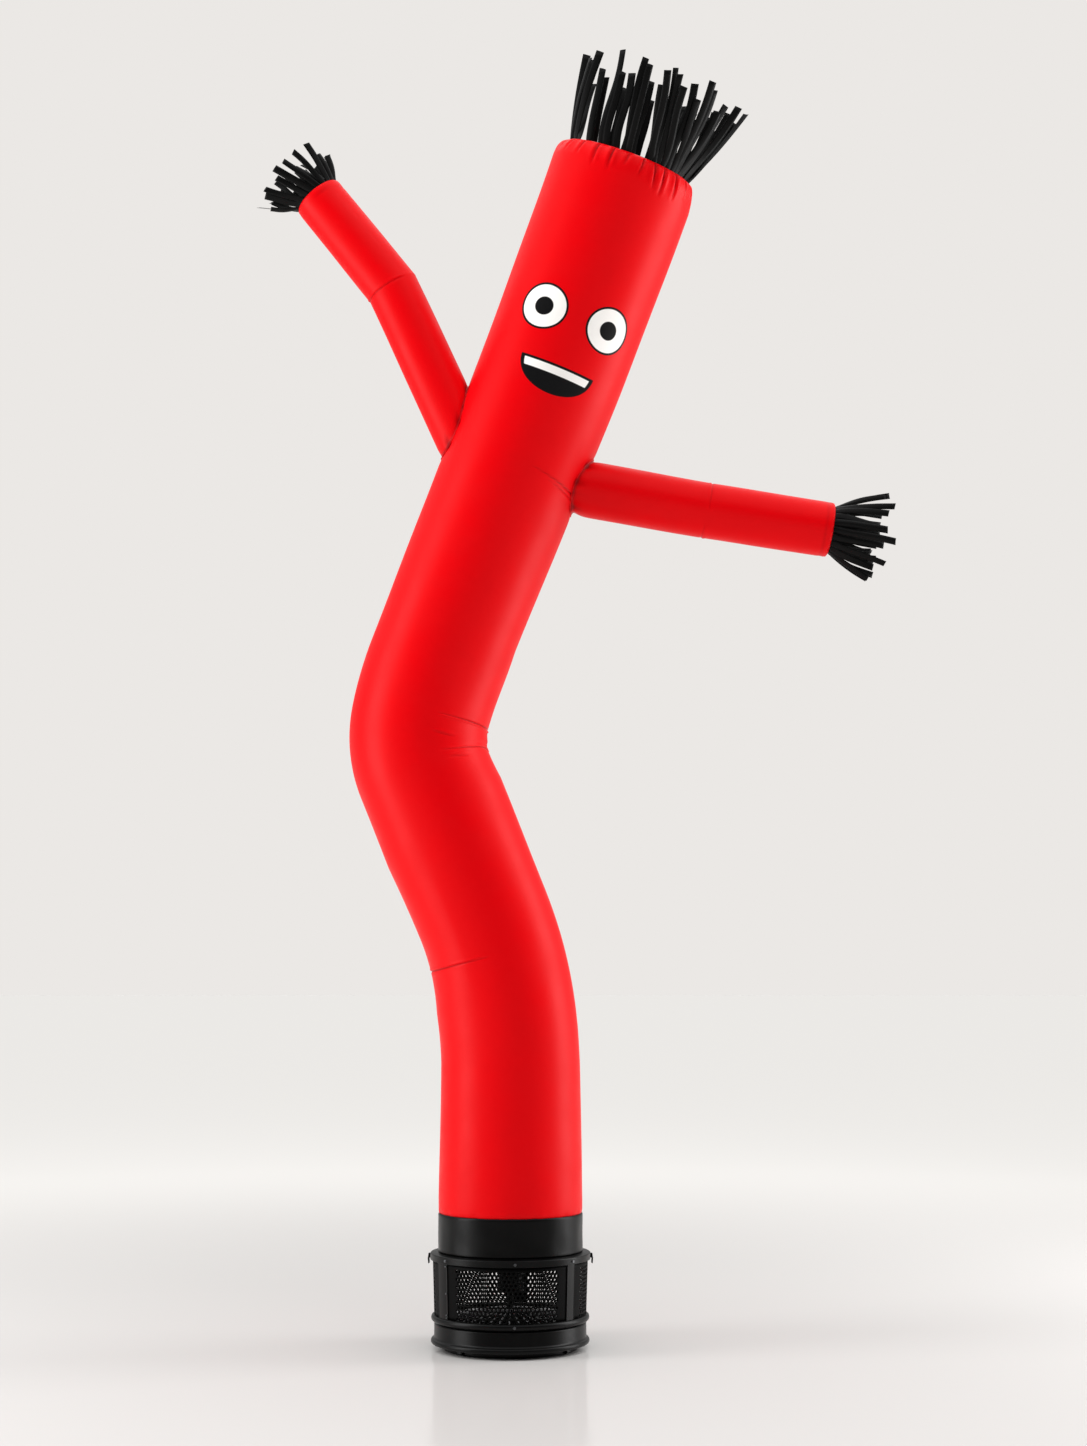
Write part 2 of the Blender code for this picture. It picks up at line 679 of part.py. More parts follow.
def build_fittings(material):
    """Return the screws, the hooks on the outlet ring and the clips under the flange."""
    flat = math.cos(math.pi / TURNED_SIDES)
    for screw in SCREWS:
        on_ring = screw.height > RING_FOOT
        seat = RING_RADIUS if on_ring else RIM_RADIUS
        build_screw("screw_" + screw.name, screw.angle, screw.height, seat, material)
    seat = RING_RADIUS + GAP
    hook = (
        (seat, 0.2060), (seat, 0.1970), (seat + 0.0022, 0.1945), (seat + 0.0016, 0.1850),
        (seat + 0.0046, 0.1830), (seat + 0.0058, 0.1950), (seat + 0.0040, 0.2060),
    )
    for side, angle in HOOK_ANGLES.items():
        build_bracket("hook_" + side, hook, angle, 0.009, material)
    seat = PLINTH_RADIUS + GAP
    clip = (
        (seat, PLINTH_TOP - GAP), (seat, 0.0030), (seat + 0.0050, 0.0030),
        (seat + 0.0070, 0.0060), (seat + 0.0070, PLINTH_TOP - GAP),
    )
    for side, angle in CLIP_ANGLES.items():
        build_bracket("clip_" + side, clip, angle, 0.012, material)


def build_cuff(material):
    """Return the cuff, a short black sleeve over the outlet duct."""
    inner = CUFF_RADIUS - CUFF_WALL
    foot = RING_TOP + GAP
    return build_turned("base_cuff", (
        (inner, foot), (CUFF_RADIUS, foot), (CUFF_RADIUS, CUFF_TOP - 0.001),
        (CUFF_RADIUS - 0.0008, CUFF_TOP), (inner, CUFF_TOP),
    ), material, TUBE_SIDES)


def main():
    """Build the air dancer."""
    clear_scene()
    red = make_material("red_coated_nylon", RED, 0.42)
    black = make_material("black_coated_nylon", BLACK_CLOTH, 0.5)
    ribbon = make_material("black_ribbon", BLACK_CLOTH, 0.55)
    metal = make_material("black_powder_coat", BLACK_METAL, 0.4)
    tube = build_tube(red)
    build_arms(tube, red)
    build_fringes(ribbon)
    build_cuff(black)
    build_blower(metal)
    build_fittings(metal)


main()
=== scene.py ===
"""Looks of an inflatable air dancer, blown up and leaning over, on its round floor blower.

Metres, +Z up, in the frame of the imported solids. A place round a tube or a ring is a compass angle in
degrees: 0 is the front (-Y), 90 the right (+X), 180 the back, 270 the left. Each surface is a function
of two parameters, worked out on a whole grid at once.
"""

import logging
import math
import random
from collections.abc import Iterator
from dataclasses import dataclass
from enum import Enum

import bpy
import numpy as np
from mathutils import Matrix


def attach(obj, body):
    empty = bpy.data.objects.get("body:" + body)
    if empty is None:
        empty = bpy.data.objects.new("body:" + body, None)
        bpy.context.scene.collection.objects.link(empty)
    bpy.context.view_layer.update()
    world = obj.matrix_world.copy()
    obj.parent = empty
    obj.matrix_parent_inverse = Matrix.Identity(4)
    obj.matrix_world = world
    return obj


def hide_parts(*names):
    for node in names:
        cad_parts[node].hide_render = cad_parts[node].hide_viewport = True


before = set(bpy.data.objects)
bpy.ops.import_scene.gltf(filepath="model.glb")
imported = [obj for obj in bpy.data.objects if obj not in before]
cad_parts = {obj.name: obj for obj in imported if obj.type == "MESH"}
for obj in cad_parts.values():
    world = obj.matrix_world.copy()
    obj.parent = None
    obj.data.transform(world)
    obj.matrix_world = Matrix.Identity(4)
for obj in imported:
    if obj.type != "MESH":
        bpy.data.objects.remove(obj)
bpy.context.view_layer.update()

LOG = logging.getLogger("air_dancer")
BODY = "root"
MAP_WIDTH = 1.02  # the cloth map's width round the tube, seam to seam
CLOTH = 0.0009  # the cloth's drawn thickness; the real coated nylon is about 0.1 mm
SHARP = math.radians(35.0)

Array = np.ndarray
Material = bpy.types.Material
Object = bpy.types.Object
Socket = bpy.types.NodeSocket
Tree = bpy.types.NodeTree
Axes = tuple[Array, Array, Array]
Pair = tuple[float, float]
Point = tuple[float, float, float]


class Slot(Enum):
    """The material slots' names."""

    RED = "red_cloth"
    BLACK = "black_cloth"
    RIBBON = "black_ribbon"
    METAL = "powder_coat"
    SCREW = "screw_metal"


@dataclass(frozen=True)
class Finish:
    """A material, and the name of its material slot."""

    material: Material
    slot: Slot


# ---------------------------------------------------------------- nodes


def linear(code: str) -> tuple[float, float, float, float]:
    """Turn an sRGB hex colour into linear light.

    Args:
        code: six hex digits, such as "e01020".

    Returns:
        Linear red, green, blue and an alpha of 1.
    """
    parts = [int(code[at : at + 2], 16) / 255.0 for at in (0, 2, 4)]
    lit = [part / 12.92 if part <= 0.04045 else ((part + 0.055) / 1.055) ** 2.4 for part in parts]
    return lit[0], lit[1], lit[2], 1.0


def set_inputs(node: bpy.types.Node, inputs: dict | tuple) -> None:
    """Link or set a node's inputs, given by name or number, or in their order."""
    for key, value in inputs.items() if isinstance(inputs, dict) else enumerate(inputs):
        if isinstance(value, Socket):
            node.id_data.links.new(value, node.inputs[key])
        else:
            node.inputs[key].default_value = value


def add_node(tree: Tree, kind: str, inputs: dict | tuple = (), out: int | str = 0, **settings) -> Socket:
    """Add a shader node.

    Args:
        tree: the node tree that gets it.
        kind: its type's name, less "ShaderNode".
        inputs: a value or output socket for each input.
        out: the output that is wanted.
        **settings: the node's own properties.

    Returns:
        That output.
    """
    node = tree.nodes.new(f"ShaderNode{kind}")
    for name, value in settings.items():
        setattr(node, name, value)
    set_inputs(node, inputs)
    return node.outputs[out]


def new_material(name: str) -> tuple[Material, Tree, bpy.types.Node]:
    """Return a new material, its nodes and its shader."""
    material = bpy.data.materials.new(name)
    material.use_nodes = True
    return material, material.node_tree, material.node_tree.nodes["Principled BSDF"]


# ---------------------------------------------------------------- shapes


def signed_angle(angles: Array | float) -> Array:
    """Return compass angles as -180 to 180 degrees."""
    return (np.asarray(angles) + 180.0) % 360.0 - 180.0


def angle_from(angles: Array, middle: float) -> Array:
    """Return how far each compass angle is from a middle one, 0 to 180 degrees."""
    return np.abs(signed_angle(angles - middle))


def compass_angles(sides: int) -> Array:
    """Return evenly spaced compass angles, from the back round to the back again."""
    return np.arange(sides) * 360.0 / sides - 180.0


def unit(values: Array) -> Array:
    """Return values held between 0 and 1."""
    return np.clip(values, 0.0, 1.0)


def bell(distance: Array, width: float) -> Array:
    """Return exp(-(distance / width)^2): 1 at no distance, and near 0 beyond two widths."""
    return np.exp(-((distance / width) ** 2))


def upright(radius: Array | float, turn: Array, height: Array | float) -> Array:
    """Return points (radius sin(turn), -radius cos(turn), height) round the upright axis."""
    return np.stack(np.broadcast_arrays(radius * np.sin(turn), -radius * np.cos(turn), height), axis=-1)


def outwards(angles: Array, right: Array, back: Array) -> Array:
    """Return sin(angle) rightwards - cos(angle) backwards: the way out at each compass angle."""
    turn = np.radians(angles)[..., None]
    return np.sin(turn) * right - np.cos(turn) * back


def squared_distances(points: Array, others: Array) -> Array:
    """Return the squared distance of each point from each of the others."""
    return (points**2).sum(axis=1)[:, None] - 2 * points @ others.T + (others**2).sum(axis=1)[None, :]


def spaced(low: float, high: float, wide: float, zones: tuple[Point, ...], blend: float) -> Array:
    """Space places unevenly between two ends.

    The spacing is wide, but in a zone (from, to, spacing) it is the zone's, with an even change over
    the blend on each side. Places are where the running count of spacings is a whole number.

    Args:
        low: first place.
        high: last place.
        wide: spacing outside the zones.
        zones: the close zones.
        blend: length over which the spacing changes.

    Returns:
        The places, with both ends.
    """
    fine = np.linspace(low, high, 20001)
    step = np.full_like(fine, wide)
    for start, end, size in zones:
        near = unit(np.maximum(start - fine, fine - end) / blend)
        step = np.minimum(step, size + (wide - size) * near)
    count = np.concatenate([[0.0], np.cumsum(np.diff(fine) * 2 / (step[1:] + step[:-1]))])
    return np.interp(np.linspace(0.0, count[-1], int(round(count[-1])) + 1), count, fine)


def cloth_places(angles: Array, along: Array, width: float) -> Array:
    """Return a sleeve's cloth map: its width shared by compass angle, and the length along it.

    Args:
        angles: the columns' angles, from -180.
        along: length at each ring, (rings,) or (rings, columns).
        width: the map's width round the sleeve.

    Returns:
        Map places, (rings x (columns + 1), 2).
    """
    across = np.append(angles, 180.0) / 360.0 * width
    length = along[:, None] if along.ndim == 1 else np.concatenate([along, along[:, :1]], axis=1)
    return np.stack(np.broadcast_arrays(across[None, :], length), axis=2).reshape(-1, 2)


def ring_points(centre: Array, right: Array, back: Array, angles: Array, radii: Array) -> Array:
    """Return rings of points.

    Each point is its ring's centre, plus the radius times (sin(angle) rightwards - cos(angle) backwards).

    Args:
        centre: middle of each ring, (rings, 3).
        right: rightward axis, for each ring or for all.
        back: backward axis, for each ring or for all.
        angles: compass angles, (sides,).
        radii: radius of each point, (rings, sides) or one for all.

    Returns:
        Points, (rings, sides, 3).
    """
    away = outwards(angles, np.atleast_2d(right)[:, None, :], np.atleast_2d(back)[:, None, :])
    return centre[:, None, :] + np.atleast_2d(radii)[:, :, None] * away


def sleeve_quads(rows: int, sides: int) -> tuple[Array, Array]:
    """Return the quads of a sleeve that closes on itself.

    Args:
        rows: rings of points.
        sides: points in a ring.

    Returns:
        Corners as places in the (rows, sides) points, and as places in a (rows, sides + 1) cloth map.
    """
    row, side = np.meshgrid(np.arange(rows - 1), np.arange(sides), indexing="ij")
    corner_rows = row.reshape(-1, 1) + np.array([[0, 0, 1, 1]])
    corner_sides = side.reshape(-1, 1) + np.array([[0, 1, 1, 0]])
    return corner_rows * sides + corner_sides % sides, corner_rows * (sides + 1) + corner_sides


def patch_quads(rows: int, columns: int) -> Array:
    """Return the quads of an open patch of rows by columns of points."""
    row, column = np.meshgrid(np.arange(rows - 1), np.arange(columns - 1), indexing="ij")
    return row.reshape(-1, 1) * columns + column.reshape(-1, 1) + np.array([[0, 1, columns + 1, columns]])


def repeated(polygons: Array, count: int, size: int) -> Array:
    """Return a shape's polygons for each of so many copies of its points, which follow each other."""
    return (polygons[None] + (np.arange(count) * size)[:, None, None]).reshape(-1, polygons.shape[1])


def turned_mesh(profile: list[Pair], sides: int, closed: bool = True) -> tuple[Array, list[Array]]:
    """Carry a profile of (radius, height) round the upright axis.

    Each point is (radius sin(angle), -radius cos(angle), height). A point of the profile on the axis
    becomes one pole.

    Args:
        profile: outline, up its outer side.
        sides: points in a ring.
        closed: whether the last point joins the first.

    Returns:
        Points and corner arrays.
    """
    turn = np.radians(compass_angles(sides))
    rows, points, count = [], [], 0
    for radius, height in profile:
        ring = upright(radius, turn, height) if radius else np.array([[0.0, 0.0, height]])
        rows.append(count + np.arange(sides) % len(ring))
        points.append(ring)
        count += len(ring)
    quads, triangles = [], []
    for low, high in zip(rows, rows[1:] + rows[:1] * closed):
        corners = np.stack([low, np.roll(low, -1), np.roll(high, -1), high], axis=1)
        low_pole, high_pole = low[0] == low[1], high[0] == high[1]
        if low_pole and not high_pole:
            triangles.append(corners[:, [0, 2, 3]])
        elif high_pole and not low_pole:
            triangles.append(corners[:, [0, 1, 2]])
        elif not low_pole:
            quads.append(corners)
    return np.concatenate(points), [np.concatenate(group) for group in (quads, triangles) if group]


def make_piece(
    name: str,
    points: Array,
    polygons: list[Array],
    finish: Finish,
    node: str | None = None,
    cloth_map: list[Array] | None = None,
    fold_shade: Array | None = None,
) -> Object:
    """Make a smooth-shaded mesh object at the origin, riding on the part's one body, and report it.

    Args:
        name: the object's name.
        points: points, (..., 3).
        polygons: corner arrays, each (faces, corners), one array for each number of corners.
        finish: its finish.
        node: the CAD node that it stands for.
        cloth_map: map coordinates in metres for each corner of each array, (faces, corners, 2).
        fold_shade: how strongly painted shade darkens the cloth at each point, 0 to 1, in creases, pleats and
            seams.

    Returns:
        The new object.
    """
    mesh = bpy.data.meshes.new(name)
    corners = np.concatenate([array.ravel() for array in polygons]).astype(np.int32)
    sizes = np.concatenate([np.full(len(array), array.shape[1]) for array in polygons])
    starts = np.concatenate([[0], np.cumsum(sizes)[:-1]]).astype(np.int32)
    mesh.vertices.add(points.size // 3)
    mesh.vertices.foreach_set("co", np.ascontiguousarray(points, dtype=np.float32).ravel())
    mesh.loops.add(len(corners))
    mesh.loops.foreach_set("vertex_index", corners)
    mesh.polygons.add(len(starts))
    mesh.polygons.foreach_set("loop_start", starts)
    mesh.update(calc_edges=True)
    mesh.validate()
    if cloth_map is not None:
        flat = np.concatenate([array.ravel() for array in cloth_map]).astype(np.float32)
        mesh.uv_layers.new(name="cloth").uv.foreach_set("vector", flat)
    if fold_shade is not None:
        shade = mesh.attributes.new("fold_shade", "FLOAT", "POINT")
        shade.data.foreach_set("value", unit(fold_shade).astype(np.float32).ravel())
    mesh.shade_smooth()
    mesh.materials.append(finish.material)
    piece = bpy.data.objects.new(name, mesh)
    bpy.context.scene.collection.objects.link(piece)
    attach(piece, BODY)
    if node:
        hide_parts(node)
    LOG.info("%s: %d points, %d faces", name, len(mesh.vertices), len(mesh.polygons))
    return piece


def thicken(piece: Object, thickness: float) -> bpy.types.Modifier:
    """Give an open sheet its thickness, inwards."""
    solid = piece.modifiers.new("cloth", "SOLIDIFY")
    solid.thickness = thickness
    solid.offset = -1.0
    return solid


def round_edges(piece: Object, width: float) -> None:
    """Round the sharp edges of a rigid piece."""
    piece.data.set_sharp_from_angle(angle=SHARP)
    bevel = piece.modifiers.new("edges", "BEVEL")
    bevel.width = width
    bevel.segments = 2
    bevel.limit_method = "ANGLE"
    bevel.angle_limit = math.radians(30.0)


# ---------------------------------------------------------------- finishes


@dataclass(frozen=True)
class PrintedFace:
    """A plain printed face in cloth-map metres: two round eyes, level and apart, over a half-moon smile."""

    middle: Pair = (0.026, 2.125)
    eye_apart: float = 0.156
    eye_radius: float = 0.0500
    rim: float = 0.0050
    pupil_radius: float = 0.0215
    mouth_drop: float = 0.118
    mouth_radii: Pair = (0.0880, 0.0700)
    teeth_height: float = 0.0180
    line: float = 0.0060
    soft: float = 0.0006
    black: str = "101011"
    white: str = "f1efec"

    def inside(self, tree: Tree, at: Socket, centre: Pair, radii: Pair) -> Socket:
        """Return 1 inside an upright ellipse and 0 outside it.

        The distance is the length of (offset / radii), and the edge fades over the ink's soft width.

        Args:
            tree: the material's nodes.
            at: place on the cloth.
            centre: the ellipse's middle.
            radii: its half width and half height.

        Returns:
            The mask.
        """
        offset = add_node(tree, "VectorMath", (at, (*centre, 0.0)), operation="SUBTRACT")
        scale = (1.0 / radii[0], 1.0 / radii[1], 0.0)
        scaled = add_node(tree, "VectorMath", (offset, scale), operation="MULTIPLY")
        far = add_node(tree, "VectorMath", (scaled,), "Value", operation="LENGTH")
        edge = self.soft / min(radii)
        return add_node(tree, "MapRange", (far, 1.0 - edge, 1.0 + edge, 1.0, 0.0))

    def below(self, tree: Tree, height: Socket, level: float) -> Socket:
        """Return 1 below a level across the face, and 0 above it."""
        return add_node(tree, "MapRange", (height, level - self.soft, level + self.soft, 1.0, 0.0))

    def print_on(self, tree: Tree, place: Socket, cloth: Socket) -> Socket:
        """Print the face over a cloth colour.

        Args:
            tree: the material's nodes.
            place: place on the cloth, in metres.
            cloth: the cloth's own colour.

        Returns:
            The printed colour.
        """
        centred = add_node(tree, "VectorMath", (place, (*self.middle, 0.0)), operation="SUBTRACT")
        parts = add_node(tree, "SeparateXYZ", (centred,)).node.outputs
        apart = add_node(tree, "Math", (parts["X"],), operation="ABSOLUTE")
        folded = add_node(tree, "CombineXYZ", (apart, parts["Y"]))
        wide, deep = self.mouth_radii
        chord = -self.mouth_drop
        mouth = self.inside(tree, folded, (0.0, chord), (wide, deep))
        mouth = add_node(tree, "Math", (mouth, self.below(tree, parts["Y"], chord)), operation="MULTIPLY")
        within = self.inside(tree, folded, (0.0, chord), (wide - self.line * 1.6, deep))
        upper = self.below(tree, parts["Y"], chord - self.line)
        lower = self.below(tree, parts["Y"], chord - self.line - self.teeth_height)
        band = add_node(tree, "Math", (upper, lower), operation="SUBTRACT")
        teeth = add_node(tree, "Math", (within, band), operation="MULTIPLY")
        rounds = (self.eye_radius + self.rim, self.eye_radius, self.pupil_radius)
        masks = [self.inside(tree, folded, (self.eye_apart / 2, 0.0), (size, size)) for size in rounds]
        black, white = linear(self.black), linear(self.white)
        colour = cloth
        for mask, ink in zip([*masks, mouth, teeth], (black, white, black, black, white)):
            colour = add_node(tree, "Mix", {0: mask, 6: colour, 7: ink}, 2, data_type="RGBA")
        return colour


@dataclass(frozen=True)
class CoatedNylon:
    """Urethane-coated nylon taffeta, calendered smooth: a soft satin gloss and a faint thread grid."""

    name: str
    colour: str
    shade: str
    roughness: float
    specular: float
    # folded is the colour of the painted shade in creases, pleats and seams
    folded: str
    patch: float = 0.070  # across the dye's uneven patches
    thread: float = 0.0016  # real threads are 0.25 mm apart; drawn coarser so that the grid shows
    stitch: float = 0.0030  # one stitch and its gap
    stitch_row: float = 0.0045  # from the seam

    def material(self, face: PrintedFace | None = None, half_width: float = 0.0) -> Material:
        """Return the cloth's material.

        Args:
            face: what is printed on it.
            half_width: half of the cloth's width, where its long seam is, or 0 for none.

        Returns:
            The material.
        """
        material, tree, shader = new_material(self.name)
        place = add_node(tree, "UVMap", uv_map="cloth")
        parts = add_node(tree, "SeparateXYZ", (place,)).node.outputs

        # The dye takes a little unevenly, in patches.
        noise = {"Vector": place, "Scale": 1.0 / self.patch, "Detail": 3.0}
        patches = add_node(tree, "TexNoise", noise, noise_dimensions="2D")
        blotch = add_node(tree, "MapRange", (patches, 0.30, 0.70, 0.0, 0.35))
        dye = {0: blotch, 6: linear(self.colour), 7: linear(self.shade)}
        colour = add_node(tree, "Mix", dye, 2, data_type="RGBA")
        if face:
            colour = face.print_on(tree, place, colour)

        # Painted shade: the colour darkens towards the folded colour by the fold_shade attribute, in creases,
        # pleats and seams.
        painted_shade = add_node(tree, "Attribute", out="Fac", attribute_name="fold_shade")
        colour = add_node(tree, "Mix", {0: painted_shade, 6: colour, 7: linear(self.folded)}, 2, data_type="RGBA")

        # Handling leaves the coating a little duller in places.
        dull = add_node(tree, "MapRange", (patches, 0.25, 0.75, self.roughness - 0.04, self.roughness + 0.05))

        # Threads: the product of a sine across and a sine along, one thread pitch to a half wave.
        waves = []
        for axis in ("X", "Y"):
            turns = add_node(tree, "Math", (parts[axis], math.pi / self.thread), operation="MULTIPLY")
            waves.append(add_node(tree, "Math", (turns,), operation="SINE"))
        weave = add_node(tree, "Math", (waves[0], waves[1]), operation="MULTIPLY")
        bump = add_node(tree, "Bump", {"Strength": 0.25, "Distance": 0.00008, "Height": weave})
        if half_width:
            bump = self.add_stitches(tree, parts, half_width, bump)
        gloss = {"Roughness": dull, "Specular IOR Level": self.specular}
        set_inputs(shader, {"Base Color": colour, "Normal": bump, **gloss})
        return material

    def add_stitches(self, tree: Tree, parts: dict[str, Socket], half_width: float, under: Socket) -> Socket:
        """Sink a row of stitches on each side of the long seam.

        The height is -1 where the place is within 0.6 mm of the row and in the first 70% of a stitch.

        Args:
            tree: the material's nodes.
            parts: the cloth place, apart.
            half_width: half of the cloth's width.
            under: the bump that it goes over.

        Returns:
            The new bump.
        """
        apart = add_node(tree, "Math", (parts["X"],), operation="ABSOLUTE")
        from_row = add_node(tree, "Math", (apart, half_width - self.stitch_row), operation="SUBTRACT")
        far = add_node(tree, "Math", (from_row,), operation="ABSOLUTE")
        near = add_node(tree, "Math", (far, 0.0006), operation="LESS_THAN")
        count = add_node(tree, "Math", (parts["Y"], 1.0 / self.stitch), operation="MULTIPLY")
        share = add_node(tree, "Math", (count,), operation="FRACT")
        sewn = add_node(tree, "Math", (share, 0.7), operation="LESS_THAN")
        dent = add_node(tree, "Math", (near, sewn), operation="MULTIPLY")
        inputs = {"Strength": 0.6, "Distance": 0.0004, "Height": dent, "Normal": under}
        return add_node(tree, "Bump", inputs, invert=True)


@dataclass(frozen=True)
class SatinRibbon:
    """Slit polyester ribbon, pressed flat: near black, with a satin gloss in fine streaks along it."""

    name: str = "slit_polyester_ribbon"
    dark: str = "040404"
    light: str = "0c0c0c"
    specular: float = 0.09
    streak_width: float = 0.0012
    streak_length: float = 0.060

    def material(self) -> Material:
        """Return the ribbon's material."""
        material, tree, shader = new_material(self.name)
        place = add_node(tree, "UVMap", uv_map="cloth")
        scale = (1.0 / self.streak_width, 1.0 / self.streak_length, 1.0)
        stretched = add_node(tree, "Mapping", {"Vector": place, "Scale": scale})
        noise = {"Vector": stretched, "Scale": 1.0, "Detail": 2.0}
        streaks = add_node(tree, "TexNoise", noise, noise_dimensions="2D")
        mixed = {0: streaks, 6: linear(self.dark), 7: linear(self.light)}
        colour = add_node(tree, "Mix", mixed, 2, data_type="RGBA")
        dull = add_node(tree, "MapRange", (streaks, 0.3, 0.7, 0.38, 0.52))
        bump = add_node(tree, "Bump", {"Strength": 0.25, "Distance": 0.0001, "Height": streaks})
        gloss = {"Roughness": dull, "Specular IOR Level": self.specular}
        set_inputs(shader, {"Base Color": colour, "Normal": bump, **gloss})
        return material


@dataclass(frozen=True)
class HardSkin:
    """A hard satin skin on steel or plastic: an even film, worn or dusty in patches, with a fine grain."""

    name: str
    colour: str
    worn: str
    roughness: float
    specular: float
    patch: float = 0.045
    patch_noise: Pair = (6.0, 0.65)  # detail and roughness
    wear: Point = (0.45, 0.75, 1.0)  # noise at which wear starts and is whole, and its share there
    dulling: Pair | None = (-0.06, 0.10)  # change of roughness over the patches
    grain: float = 0.0022  # the real grain is 0.3 to 1 mm across; drawn coarser so that it shows
    grain_bump: float = 0.18

    def material(self) -> Material:
        """Return the skin's material."""
        material, tree, shader = new_material(self.name)
        place = add_node(tree, "TexCoord", out="Object")
        detail, rough = self.patch_noise
        noise = {"Vector": place, "Scale": 1.0 / self.patch, "Detail": detail, "Roughness": rough}
        patches = add_node(tree, "TexNoise", noise)
        start, whole, share = self.wear
        worn = add_node(tree, "MapRange", (patches, start, whole, 0.0, share))
        mixed = {0: worn, 6: linear(self.colour), 7: linear(self.worn)}
        colour = add_node(tree, "Mix", mixed, 2, data_type="RGBA")
        dull = self.roughness
        if self.dulling:
            ends = (self.roughness + change for change in self.dulling)
            dull = add_node(tree, "MapRange", (patches, 0.0, 1.0, *ends))
        grain = add_node(tree, "TexNoise", {"Vector": place, "Scale": 1.0 / self.grain, "Detail": 1.0})
        bump = add_node(tree, "Bump", {"Strength": self.grain_bump, "Distance": 0.0002, "Height": grain})
        gloss = {"Roughness": dull, "Specular IOR Level": self.specular}
        set_inputs(shader, {"Base Color": colour, "Normal": bump, **gloss})
        return material


@dataclass(frozen=True)
class ZincPlate:
    """Zinc-plated steel screws with a dark passivated film: grey metal, dulled in spots."""

    name: str = "zinc_plated_steel"
    colour: str = "6f7072"
    film: str = "3c3d40"
    spot: float = 0.002
    roughness: float = 0.40

    def material(self) -> Material:
        """Return the plating's material."""
        material, tree, shader = new_material(self.name)
        place = add_node(tree, "TexCoord", out="Object")
        spots = add_node(tree, "TexNoise", {"Vector": place, "Scale": 1.0 / self.spot, "Detail": 3.0})
        mixed = {0: spots, 6: linear(self.colour), 7: linear(self.film)}
        colour = add_node(tree, "Mix", mixed, 2, data_type="RGBA")
        set_inputs(shader, {"Base Color": colour, "Metallic": 1.0, "Roughness": self.roughness})
        return material


class Finishes:
    """Every finish on the part, made once."""

    def __init__(self) -> None:
        """Make the materials."""
        # the last colour is the painted shade in creases, pleats and seams
        red = ("dc0008", "d50007", 0.40, 0.080, "8c0005")
        half = MAP_WIDTH / 2
        body = CoatedNylon("red_coated_nylon", *red).material(PrintedFace(), half)
        black = CoatedNylon("black_coated_nylon", "020202", "040404", 0.33, 0.12, "000000")
        # Baked powder coat on sheet steel: a satin film with a fine orange peel. It is thin and matt on the
        # perforated sheet, where a darker copy of it is painted shade for the recessed guard, and pale grey on
        # the wires, a painted highlight for their glints.
        steel = HardSkin("powder_coated_steel", "030303", "080808", 0.32, 0.14)
        # Painted shade: a darker colour and worn colour than the steel's, standing in for the shade inside the
        # recessed guard
        guard = HardSkin("matt_perforated_steel_painted_shade", "020202", "050505", 0.55, 0.06)
        # Painted highlight: the wires' pale grey stands in for glints on them inside the dark guard
        wire = HardSkin("pale_grey_wire_painted_glint", "c4c5c6", "a9aaab", 0.35, 0.40)
        # Black moulded polypropylene: a dull, lightly textured skin that gathers grey dust
        plastic = HardSkin(
            "moulded_polypropylene", "040404", "0c0c0b", 0.44, 0.16, patch=0.030, patch_noise=(5.0, 0.5),
            wear=(0.50, 0.80, 0.4), dulling=None, grain=0.0018, grain_bump=0.25,
        )
        self.red = Finish(body, Slot.RED)
        self.red_arm = Finish(CoatedNylon("red_coated_nylon_arms", *red).material(), Slot.RED)
        self.black = Finish(black.material(None, half), Slot.BLACK)
        self.ribbon = Finish(SatinRibbon().material(), Slot.RIBBON)
        self.metal = Finish(steel.material(), Slot.METAL)
        self.guard = Finish(guard.material(), Slot.METAL)
        self.plastic = Finish(plastic.material(), Slot.METAL)
        self.wire = Finish(wire.material(), Slot.SCREW)
        self.screw = Finish(ZincPlate().material(), Slot.SCREW)


# ---------------------------------------------------------------- the tube's spine


@dataclass(frozen=True)
class Run:
    """A stretch of the tube: its length, its turn to the right and its lean to the front, in degrees."""

    length: float
    turn: float
    lean: float


